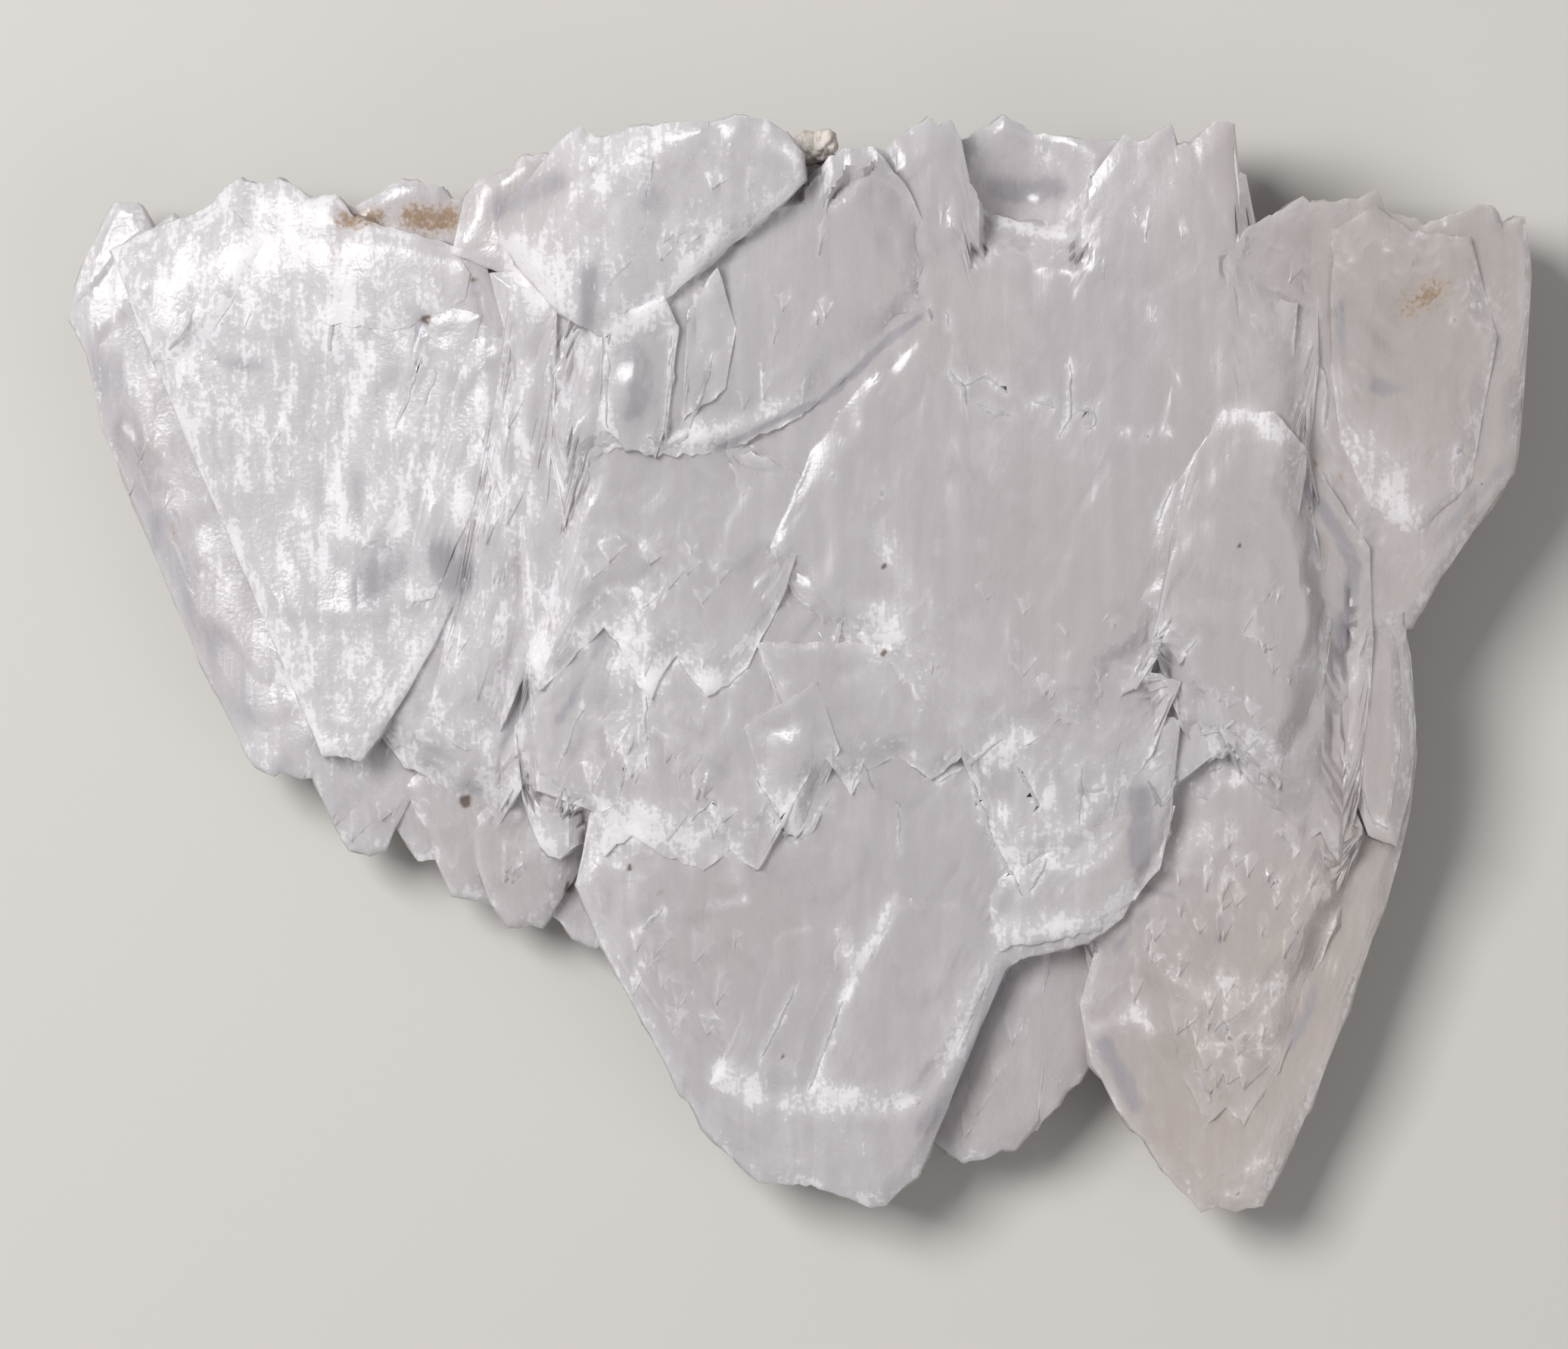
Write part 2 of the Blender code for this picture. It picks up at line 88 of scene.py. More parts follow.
# Each blade has its rim in plan, the level of its top face at the tip and at the root, the rise
# of that face for each millimetre towards +X, and the level of its underside at tip and root.
# Some have dips (centre, radius, depth), rolls (the way they bend down, where that starts, how
# much), and a bevel of their own (rise, width).
BLADES = {
    "cleaved_back": dict(rim=[
        (-41.0, 23.3), (-36.0, 26.3), (-21.5, 27.8), (-7.5, 31.3), (5.0, 31.8), (17.5, 27.3),
        (28.5, 29.3), (42.5, 25.8), (42.5, 14.3), (37.0, 5.3), (37.5, -8.3), (34.0, -19.8),
        (28.5, -26.8), (23.5, -24.8), (19.0, -18.8), (12.5, -22.8), (6.5, -29.3), (-1.5, -28.3),
        (-8.5, -19.8), (-14.5, -12.3), (-22.5, -7.8), (-31.0, -3.8), (-36.0, 6.3), (-40.0, 14.3),
    ], top=(6.6, 7.4), rise=0.0, under=(0.0, 0.0)),
    "left_rim": dict(rim=[
        (-45.7, 30.3), (-47.4, 27.0), (-48.3, 23.4), (-47.1, 20.9), (-46.6, 18.6), (-46.3, 17.0),
        (-46.5, 16.2), (-44.8, 13.0), (-42.5, 7.2), (-39.5, 0.1), (-36.7, -5.4), (-36.1, -6.4),
        (-34.8, -7.1), (-34.2, -6.8), (-32.8, -7.3), (-29.0, -0.8), (-30.0, 14.3), (-36.0, 27.3),
        (-41.3, 30.1), (-42.7, 29.4), (-43.7, 31.1), (-45.3, 31.1),
    ], top=(7.6, 10.2), rise=0.14, under=(3.4, 2.6)),
    "left_second": dict(rim=[
        (-35.5, 1.8), (-32.8, -7.3), (-32.1, -7.2), (-30.3, -11.4), (-29.8, -12.0), (-28.4, -12.4),
        (-27.3, -12.0), (-26.6, -10.6), (-22.5, -2.8), (-24.5, 5.3),
    ], top=(7.2, 11.0), rise=0.05, under=(3.2, 2.4)),
    "stair_1": dict(rim=[
        (-28.5, -5.8), (-26.6, -10.6), (-25.2, -12.8), (-24.0, -12.7), (-20.5, -7.8), (-19.5, -2.8),
        (-24.5, -0.8),
    ], top=(6.8, 10.2), rise=0.0, under=(2.9, 2.3)),
    "stair_2": dict(rim=[
        (-26.0, -7.8), (-24.0, -12.7), (-22.9, -15.1), (-21.1, -15.4), (-20.3, -15.7),
        (-17.5, -11.3), (-16.5, -5.8), (-22.5, -3.8),
    ], top=(6.3, 9.6), rise=0.03, under=(2.6, 2.0)),
    "stair_3": dict(rim=[
        (-22.0, -10.8), (-20.3, -15.7), (-19.2, -17.2), (-18.4, -17.3), (-17.7, -17.1),
        (-16.9, -17.3), (-16.3, -16.5), (-13.0, -11.3), (-12.5, -6.3), (-18.5, -5.8),
    ], top=(5.8, 9.4), rise=0.0, under=(2.3, 1.8)),
    "stair_4": dict(rim=[
        (-18.0, -12.3), (-16.3, -16.5), (-15.7, -17.0), (-14.8, -18.0), (-13.8, -18.5),
        (-13.3, -18.7), (-12.8, -18.3), (-9.0, -13.3), (-11.5, -8.3),
    ], top=(4.6, 6.0), rise=0.0, under=(1.8, 1.4)),
    "centre_spear": dict(rim=[
        (-14.5, -14.3), (-12.8, -18.3), (-11.3, -21.2), (-8.7, -25.9), (-7.4, -28.5),
        (-6.9, -28.9), (-6.1, -30.6), (-4.2, -32.5), (-2.4, -34.2), (1.1, -34.4), (4.0, -35.4),
        (5.1, -35.9), (6.1, -35.8), (7.5, -34.3), (8.2, -33.9), (8.8, -32.6), (12.0, -24.8),
        (14.0, -20.0), (15.0, -19.2), (17.0, -18.8), (19.5, -18.1), (21.8, -16.5), (23.0, -14.0),
        (24.8, -10.8), (25.5, -3.3), (12.5, -0.8), (-7.5, 0.3), (-13.0, -7.3),
    ], top=(8.4, 15.2), rise=0.02, under=(4.0, 1.6)),
    "valley_left": dict(rim=[
        (7.0, -26.8), (9.4, -31.6), (10.3, -32.4), (11.2, -33.0), (12.7, -32.8), (13.9, -32.1),
        (14.8, -32.1), (16.3, -30.3), (17.5, -18.3), (11.5, -15.8),
    ], top=(6.4, 9.2), rise=0.04, under=(2.0, 1.4)),
    "valley_right": dict(rim=[
        (14.8, -20.3), (15.3, -25.8), (15.6, -31.0), (16.3, -30.8), (16.8, -30.0), (17.7, -29.1),
        (18.2, -28.2), (19.1, -27.6), (19.8, -26.3), (23.5, -19.8), (18.5, -14.8),
    ], top=(6.6, 9.6), rise=-0.05, under=(2.6, 1.6)),
    "right_spear": dict(rim=[
        (19.0, -22.3), (19.8, -26.3), (20.5, -27.3), (21.5, -29.3), (22.5, -30.7), (23.4, -31.4),
        (24.5, -33.3), (25.5, -34.5), (26.6, -35.5), (27.2, -36.3), (28.2, -35.8), (29.5, -36.2),
        (31.3, -35.8), (32.6, -33.3), (34.5, -29.3), (35.7, -26.0), (37.1, -22.4), (38.6, -17.9),
        (39.5, -15.8), (40.4, -12.5), (41.1, -9.5), (41.5, -5.7), (41.2, -2.1), (40.8, 0.9),
        (40.8, 2.9), (39.0, 7.3), (32.5, 7.3), (23.5, -5.8),
    ], top=(7.4, 11.6), rise=-0.10, under=(3.6, 1.8)),
    "right_spear_upper": dict(rim=[
        (18.5, -15.8), (20.0, -21.3), (21.3, -23.4), (22.5, -22.8), (24.0, -24.3), (26.3, -27.8),
        (27.5, -30.3), (28.8, -29.3), (30.0, -30.3), (32.4, -26.7), (34.7, -20.5), (36.5, -15.8),
        (37.9, -10.8), (35.7, -6.1), (34.5, 1.3), (27.5, 4.3), (20.0, -5.8),
    ], top=(8.8, 13.4), rise=-0.04, under=(5.0, 3.0)),
    "right_lobe": dict(rim=[
        (37.0, 7.3), (36.0, 0.8), (35.8, -5.8), (37.5, -9.3), (38.1, -11.0), (40.0, -11.8),
        (40.9, -8.3), (41.3, -3.8), (40.9, 0.8), (40.0, 4.8),
    ], top=(11.4, 13.6), rise=-0.16, under=(5.0, 4.0)),
    "right_shoulder": dict(rim=[
        (30.2, 29.2), (31.3, 29.8), (33.4, 31.0), (33.8, 30.7), (34.6, 30.6), (37.2, 31.0),
        (38.3, 31.6), (38.9, 30.1), (40.8, 29.7), (41.4, 29.2), (43.4, 30.0), (45.5, 30.7),
        (46.1, 30.4), (46.7, 29.5), (47.6, 29.9), (48.3, 29.9), (48.7, 26.0), (48.5, 21.8),
        (48.2, 17.1), (47.6, 13.0), (45.2, 9.4), (42.9, 6.2), (40.8, 2.9), (37.0, 1.8),
        (34.0, 9.3), (29.5, 16.3), (27.5, 27.8),
    ], top=(12.8, 17.2), rise=-0.22, under=(4.4, 2.6),
        dips=[((41.0, 22.0), 4.0, 0.6)]),
    "left_wing": dict(rim=[
        (-45.3, 27.8), (-40.5, 15.8), (-36.0, 5.3), (-33.9, 0.3), (-31.3, -5.8), (-30.3, -5.7),
        (-28.8, -6.1), (-27.5, -4.5), (-25.3, -1.0), (-22.5, 4.3), (-19.5, 12.3), (-18.5, 21.3),
        (-20.5, 27.3), (-29.0, 29.8), (-29.9, 30.9), (-30.3, 31.4), (-31.9, 31.1), (-32.9, 31.9),
        (-34.0, 32.4), (-35.6, 32.1), (-36.6, 32.5), (-37.7, 31.9), (-38.4, 30.9), (-39.8, 30.1),
        (-42.0, 29.5),
    ], top=(11.2, 16.2), rise=0.15, under=(5.0, 3.0),
        rolls=[((-0.3, 0.95), 33.0, 0.03)],
        dips=[((-31.0, 10.0), 6.0, 0.5), ((-36.5, 26.5), 3.5, -0.5)]),
    "left_root": dict(rim=[
        (-29.9, 30.9), (-29.1, 30.6), (-27.9, 31.2), (-26.3, 32.3), (-24.8, 32.3), (-23.3, 32.0),
        (-22.7, 31.1), (-21.7, 31.0), (-20.5, 27.8), (-24.5, 27.3), (-29.5, 28.3),
    ], top=(13.0, 13.8), rise=0.0, under=(5.0, 4.0)),
    "streak_3": dict(rim=[
        (-18.5, 25.3), (-20.5, 14.3), (-22.5, 4.3), (-24.5, -3.8), (-22.5, -5.0), (-20.0, -5.8),
        (-19.3, -3.8), (-17.3, 0.8), (-16.5, 8.3), (-15.8, 16.3), (-15.5, 24.3),
    ], top=(12.2, 19.2), rise=0.04, under=(6.0, 5.0)),
    "left_apron": dict(rim=[
        (-27.5, 1.3), (-28.0, -3.8), (-26.0, -6.3), (-24.3, -7.3), (-22.5, -9.8), (-21.3, -8.8),
        (-19.8, -10.5), (-18.0, -7.8), (-16.5, -2.8), (-15.5, 4.3), (-22.5, 6.3),
    ], top=(10.2, 13.8), rise=0.04, under=(4.0, 3.0)),
    "centre_apron": dict(rim=[
        (-17.5, 0.3), (-18.5, -3.8), (-18.0, -8.8), (-16.8, -11.8), (-15.5, -12.7),
        (-14.0, -11.5), (-12.5, -12.3), (-10.8, -11.0), (-8.5, -12.3), (-6.0, -13.3),
        (-4.3, -12.0), (-2.5, -13.3), (-1.5, -11.8), (1.5, -5.8), (3.5, 5.0), (-10.0, 8.0),
    ], top=(13.2, 16.8), rise=0.03, under=(5.0, 4.0)),
    "pale_fang": dict(rim=[
        (-3.3, -3.8), (-2.0, -7.8), (-0.5, -10.8), (0.1, -11.2), (1.3, -9.5), (3.0, -5.3),
        (1.5, -0.8),
    ], top=(14.6, 16.6), rise=0.0, under=(9.0, 9.0)),
    "toothed_layer": dict(rim=[
        (-15.3, 9.8), (-16.4, 4.3), (-17.5, 0.3), (-16.9, -1.5), (-15.6, -0.3), (-14.5, 0.9),
        (-12.5, 2.8), (-11.3, 1.2), (-10.3, -1.0), (-9.4, -1.9), (-8.5, 0.0), (-7.7, 0.9),
        (-6.8, -0.5), (-5.8, -1.8), (-4.3, -1.0), (-3.0, 0.3), (-0.5, 5.3), (1.5, 12.3),
        (-7.5, 16.3), (-13.5, 14.8),
    ], top=(16.1, 18.7), rise=0.0, under=(8.0, 8.0)),
    "centre_ledge": dict(rim=[
        (-2.5, 1.8), (-0.5, -3.8), (2.5, -6.3), (3.8, -8.3), (5.0, -6.5), (7.0, -5.8),
        (9.0, -7.3), (11.0, -5.8), (12.5, 1.8),
    ], top=(14.6, 16.4), rise=0.0, under=(8.0, 8.0)),
    "twin_fang": dict(rim=[
        (11.0, -5.8), (12.5, -9.3), (14.5, -14.0), (15.1, -15.0), (16.7, -12.4), (17.5, -13.2),
        (19.3, -12.9), (21.0, -11.0), (21.6, -8.3), (23.5, -5.8), (25.5, -0.8), (17.5, 1.8),
        (10.0, 0.3),
    ], top=(13.6, 16.2), rise=-0.03, under=(6.0, 5.0)),
    "right_pane": dict(rim=[
        (28.1, 17.0), (26.5, 14.3), (24.8, 9.3), (23.5, 1.8), (25.5, -3.8), (27.5, -6.3),
        (29.5, -5.0), (32.0, -7.8), (33.5, -5.3), (35.0, -0.8), (35.8, 4.3), (34.8, 9.8),
        (33.8, 14.3), (31.5, 16.8),
    ], top=(15.4, 19.2), rise=-0.06, under=(6.0, 5.0)),
    "great_pane": dict(rim=[
        (3.3, 32.3), (5.2, 34.1), (5.9, 34.0), (7.4, 35.3), (8.8, 36.1), (9.5, 35.6),
        (10.2, 36.0), (10.9, 34.8), (11.5, 31.8), (12.8, 30.0), (15.5, 29.3), (18.0, 30.0),
        (19.5, 32.3), (21.0, 34.3), (21.7, 35.0), (22.5, 34.4), (24.7, 35.7), (25.0, 34.3),
        (26.0, 34.4), (27.5, 35.9), (28.8, 35.8), (29.1, 32.5), (29.6, 32.3), (30.2, 29.2),
        (30.8, 27.3), (34.4, 25.0), (34.5, 20.3), (34.1, 16.3), (33.5, 12.3), (32.5, 6.3),
        (30.5, 1.8), (28.5, 2.8), (27.0, 0.3), (26.3, 1.9), (25.3, 0.3), (24.5, 1.8),
        (22.5, -1.3), (21.0, -1.8), (19.5, -3.8), (17.5, -3.3), (15.5, -5.0), (14.0, -4.5),
        (12.0, -6.3), (9.5, -3.8), (6.5, 0.3), (2.5, 1.3), (-0.5, 4.3), (-2.5, 9.3),
        (-4.5, 14.3), (-2.5, 21.8), (1.5, 29.3),
    ], top=(15.9, 20.8), rise=-0.01, under=(6.0, 4.0),
        rolls=[((0.0, 1.0), 27.0, 0.012), ((1.0, 0.1), 30.5, 0.05)],
        dips=[((15.1, 29.6), 3.6, 1.7)]),
    "scoop_fin": dict(rim=[
        (10.6, 34.5), (12.3, 35.5), (13.8, 36.4), (14.7, 35.9), (16.0, 35.2), (19.8, 34.7),
        (21.3, 34.8), (20.0, 30.3), (18.5, 24.5), (12.0, 24.5),
    ], top=(17.4, 17.6), rise=0.0, under=(8.0, 9.0),
        dips=[((15.1, 31.2), 3.2, 2.6)]),
    "upper_pane": dict(rim=[
        (0.7, 31.8), (2.4, 33.5), (3.3, 33.9), (5.2, 34.0), (7.5, 31.3), (9.3, 27.3), (9.5, 24.8),
        (8.9, 23.9), (6.5, 22.3), (3.3, 18.9), (0.0, 16.3), (-3.0, 15.0), (-5.5, 14.1),
        (-8.9, 14.0), (-10.0, 15.0), (-12.5, 14.3), (-14.1, 13.0), (-15.1, 9.5), (-16.0, 14.3),
        (-16.3, 19.3), (-14.5, 23.3), (-7.5, 30.3),
    ], top=(18.2, 22.4), rise=0.0, under=(8.0, 6.0),
        bevel=(0.6, 1.9)),
    "streak_4": dict(rim=[
        (-12.5, 22.8), (-12.8, 16.3), (-11.0, 14.4), (-9.1, 13.9), (-8.3, 16.3), (-7.5, 22.3),
        (-8.5, 24.3),
    ], top=(19.0, 22.3), rise=0.05, under=(9.0, 9.0)),
    "streak_5": dict(rim=[
        (-7.0, 23.3), (-7.3, 16.3), (-4.5, 18.3), (-3.8, 22.3), (-5.0, 26.3),
    ], top=(19.3, 22.5), rise=-0.05, under=(9.0, 9.0)),
    "back_root": dict(rim=[
        (-21.7, 31.0), (-20.8, 32.1), (-19.2, 32.6), (-17.7, 33.8), (-16.3, 33.8), (-14.5, 32.8),
        (-12.5, 27.8), (-17.5, 25.3), (-22.5, 27.3),
    ], top=(17.6, 18.0), rise=0.05, under=(6.0, 5.0)),
    "crown_pane": dict(rim=[
        (-20.5, 29.3), (-17.7, 31.8), (-15.3, 34.5), (-14.0, 35.3), (-13.4, 34.8), (-12.5, 34.6),
        (-10.8, 35.1), (-9.0, 35.3), (-6.9, 35.5), (-4.8, 35.5), (-3.7, 35.9), (-1.9, 35.7),
        (-0.6, 34.9), (0.5, 33.5), (0.7, 31.8), (-0.5, 30.5), (-2.5, 28.8), (-5.5, 26.5),
        (-8.5, 24.0), (-11.0, 22.3), (-12.8, 21.8), (-15.5, 23.3), (-18.0, 26.3),
    ], top=(21.4, 25.5), rise=0.04, under=(8.0, 6.0), bevel=(0.9, 1.6),
        rolls=[((-0.95, 0.3), 18.0, 0.055)]),
    "crumb_ledge": dict(rim=[
        (-3.5, 34.3), (-0.8, 34.3), (0.5, 34.5), (2.5, 34.0), (4.5, 33.5), (5.0, 29.3),
        (-3.5, 29.3),
    ], top=(15.0, 15.0), rise=0.0, under=(6.0, 6.0)),
    # Three fillers under the others, so that no gap opens between them.
    "heart": dict(rim=[
        (-18.5, 20.3), (-17.8, 2.3), (-17.0, -8.0), (-6.0, -12.0), (12.0, -11.0), (22.0, -10.0),
        (30.0, -4.0), (32.0, 8.0), (33.0, 24.0), (20.0, 27.0), (-12.0, 27.0), (-20.0, 26.0),
    ], top=(12.6, 18.9), rise=0.0, under=(5.0, 5.0)),
    "left_heart": dict(rim=[
        (-26.5, -1.0), (-24.0, -5.0), (-20.0, -7.5), (-17.0, -8.0), (-16.0, 4.0), (-16.0, 24.0),
        (-24.0, 25.5), (-26.5, 14.0),
    ], top=(9.9, 16.9), rise=0.0, under=(5.0, 5.0)),
    "right_heart": dict(rim=[
        (28.0, -4.0), (30.8, -9.5), (33.4, -12.3), (34.9, -10.6), (36.4, -13.4), (37.4, -9.0),
        (38.0, -4.0), (38.3, 2.0), (38.0, 8.0), (34.0, 14.0), (30.0, 9.0),
    ], top=(12.6, 15.8), rise=-0.24, under=(5.0, 5.0)),
}

# Layers that lie on a blade: their outline, how far they stand over it at tip and root, and
# their lean, which is how much less they do for each millimetre towards +X.
LAYERS = {
    "streak_1": dict(over="left_wing", rim=[
        (-24.5, 24.3), (-27.5, 16.3), (-29.0, 9.3), (-28.6, 7.8), (-26.5, 8.3), (-22.5, 16.3),
        (-20.5, 23.3),
    ], lift=(0.3, 0.3)),
    "streak_2": dict(over="left_wing", rim=[
        (-21.5, 21.8), (-24.0, 14.3), (-25.5, 6.8), (-25.3, 4.3), (-23.8, 4.8), (-20.5, 12.3),
        (-18.0, 21.8),
    ], lift=(0.35, 0.3)),
    "left_lobe": dict(over="left_wing", rim=[
        (-33.5, 29.3), (-31.0, 22.8), (-26.5, 22.3), (-23.0, 23.3), (-21.6, 24.5), (-21.3, 26.0),
        (-22.3, 27.5), (-24.5, 28.4), (-27.5, 29.0), (-30.5, 29.3),
    ], lift=(0.5, 0.35)),
    "inner_spear": dict(over="centre_spear", rim=[
        (1.0, -28.3), (3.2, -22.0), (6.6, -15.0), (13.0, -14.0), (13.2, -20.0), (9.8, -27.3),
        (8.2, -28.9), (4.0, -29.3),
    ], lift=(0.35, 0.1)),
    "inner_spear_left": dict(over="centre_spear", rim=[
        (-5.6, -27.6), (-3.4, -22.0), (-2.0, -17.0), (3.2, -15.5), (2.6, -21.0), (0.0, -27.4),
        (-2.4, -28.7),
    ], lift=(0.28, 0.05)),
    "band_over_spear": dict(over="centre_spear", rim=[
        (13.6, -18.6), (15.4, -18.2), (17.5, -17.9), (20.4, -17.2), (22.6, -15.3), (24.2, -13.2),
        (25.2, -9.0), (20.0, -9.0), (15.0, -12.0), (12.6, -15.0),
    ], lift=(0.5, 0.2)),
    "pane_dome": dict(over="great_pane", rim=[
        (22.6, 4.5), (23.6, 8.5), (24.9, 12.4), (27.2, 15.4), (29.6, 16.4), (31.7, 15.2),
        (33.2, 11.5), (32.6, 6.5), (29.5, 2.6), (26.6, 1.9),
    ], lift=(0.3, 0.25)),
    "pane_left": dict(over="great_pane", rim=[
        (-1.6, 8.0), (1.2, 14.5), (4.4, 18.6), (8.4, 22.4), (10.6, 18.4), (11.6, 10.0),
        (10.2, 2.0), (6.8, 1.0), (3.0, 2.2), (0.0, 4.8),
    ], lift=(0.30, 0.2), lean=0.055),
    "shoulder_lobe": dict(over="right_shoulder", rim=[
        (35.2, 20.0), (35.2, 28.8), (38.2, 30.4), (40.6, 28.8), (44.5, 28.4), (46.4, 22.0),
        (44.8, 12.5), (41.0, 8.6), (38.0, 10.8), (36.0, 15.0),
    ], lift=(0.4, 0.5)),
    "rim_wedge": dict(over="right_lobe", rim=[
        (36.6, -5.4), (37.2, 2.5), (39.4, 5.0), (40.1, 0.5), (40.2, -5.0), (39.5, -10.0),
        (38.1, -9.4), (37.5, -7.6),
    ], lift=(0.35, 0.25)),
    "crown_left": dict(over="crown_pane", rim=[
        (-15.6, 24.6), (-16.8, 27.8), (-15.4, 31.5), (-12.2, 33.8), (-9.2, 33.0), (-9.6, 28.0),
        (-12.6, 24.2),
    ], lift=(0.35, 0.3)),
    "wing_corner": dict(over="left_wing", rim=[
        (-44.4, 25.6), (-42.2, 28.6), (-37.6, 30.8), (-35.0, 28.2), (-37.4, 23.8), (-39.8, 20.6),
        (-42.4, 20.4),
    ], lift=(0.45, 0.35)),
}

# Fields of scales: host, how many, the patch they fill as x and y ranges, their half width and
# length as ranges, their lean in degrees and how far they stand out.
SCALE_FIELDS = (
    ("centre_apron", 16, (-16.0, 0.0), (-11.5, -3.0), (0.4, 1.1), (2.0, 5.0), 8.0, 0.22),
    ("toothed_layer", 14, (-14.0, -1.0), (0.5, 11.0), (0.4, 1.0), (2.0, 4.5), 8.0, 0.22),
    ("great_pane", 12, (-1.0, 10.0), (-2.0, 10.0), (0.2, 0.5), (1.5, 3.5), 6.0, 0.12),
    ("great_pane", 10, (12.0, 28.0), (-3.0, 6.0), (0.4, 0.9), (1.5, 3.5), 6.0, 0.16),
    ("great_pane", 8, (6.0, 28.0), (24.0, 33.0), (0.2, 0.5), (2.5, 6.0), 6.0, 0.12),
    ("right_pane", 10, (26.0, 34.0), (-5.0, 3.0), (0.3, 0.8), (1.2, 3.0), 14.0, 0.22),
    ("right_spear_upper", 34, (21.0, 35.0), (-24.0, -6.0), (0.25, 0.6), (1.5, 4.0), 12.0, 0.24),
    ("right_spear_upper", 8, (26.0, 32.0), (-27.0, -20.0), (0.5, 1.2), (2.5, 5.0), 14.0, 0.24),
    ("right_spear", 8, (24.0, 38.0), (-34.0, -12.0), (0.4, 1.0), (3.0, 7.0), 20.0, 0.25),
    ("right_shoulder", 30, (31.0, 46.0), (9.0, 29.0), (0.3, 0.8), (2.0, 5.5), 32.0, 0.26),
    ("left_second", 5, (-32.0, -26.0), (-10.0, -4.0), (0.5, 1.0), (2.5, 4.5), 20.0, 0.22),
    ("stair_1", 4, (-26.5, -22.0), (-11.0, -5.0), (0.4, 0.8), (2.0, 4.0), 20.0, 0.22),
    ("stair_2", 4, (-24.0, -18.0), (-14.0, -7.0), (0.4, 0.8), (2.0, 4.0), 20.0, 0.22),
    ("stair_3", 5, (-20.0, -14.0), (-15.5, -8.0), (0.4, 0.8), (2.0, 4.0), 18.0, 0.22),
    ("left_apron", 8, (-26.0, -17.5), (-8.0, 2.0), (0.4, 0.9), (2.0, 4.5), 20.0, 0.25),
    ("streak_3", 7, (-22.5, -17.0), (-2.0, 20.0), (0.3, 0.6), (3.0, 7.0), 12.0, 0.3),
    ("left_wing", 5, (-42.0, -24.0), (16.0, 28.0), (0.2, 0.5), (3.0, 7.0), 24.0, 0.12),
    ("left_wing", 6, (-27.0, -21.0), (6.0, 22.0), (0.4, 0.8), (3.0, 7.0), 18.0, 0.3),
    ("centre_spear", 14, (-11.0, 12.0), (-33.0, -16.0), (0.3, 0.9), (2.5, 6.0), 16.0, 0.16),
    ("upper_pane", 8, (-14.0, 6.0), (16.0, 30.0), (0.2, 0.5), (2.0, 5.0), 8.0, 0.16),
    ("crown_pane", 10, (-17.0, -2.0), (25.0, 33.0), (0.4, 0.9), (2.0, 4.0), 20.0, 0.2),
    ("valley_left", 4, (9.0, 15.0), (-30.0, -20.0), (0.5, 1.0), (3.0, 5.0), 10.0, 0.2),
    ("left_rim", 3, (-45.0, -40.0), (8.0, 24.0), (0.2, 0.5), (3.0, 6.0), 24.0, 0.12),
)

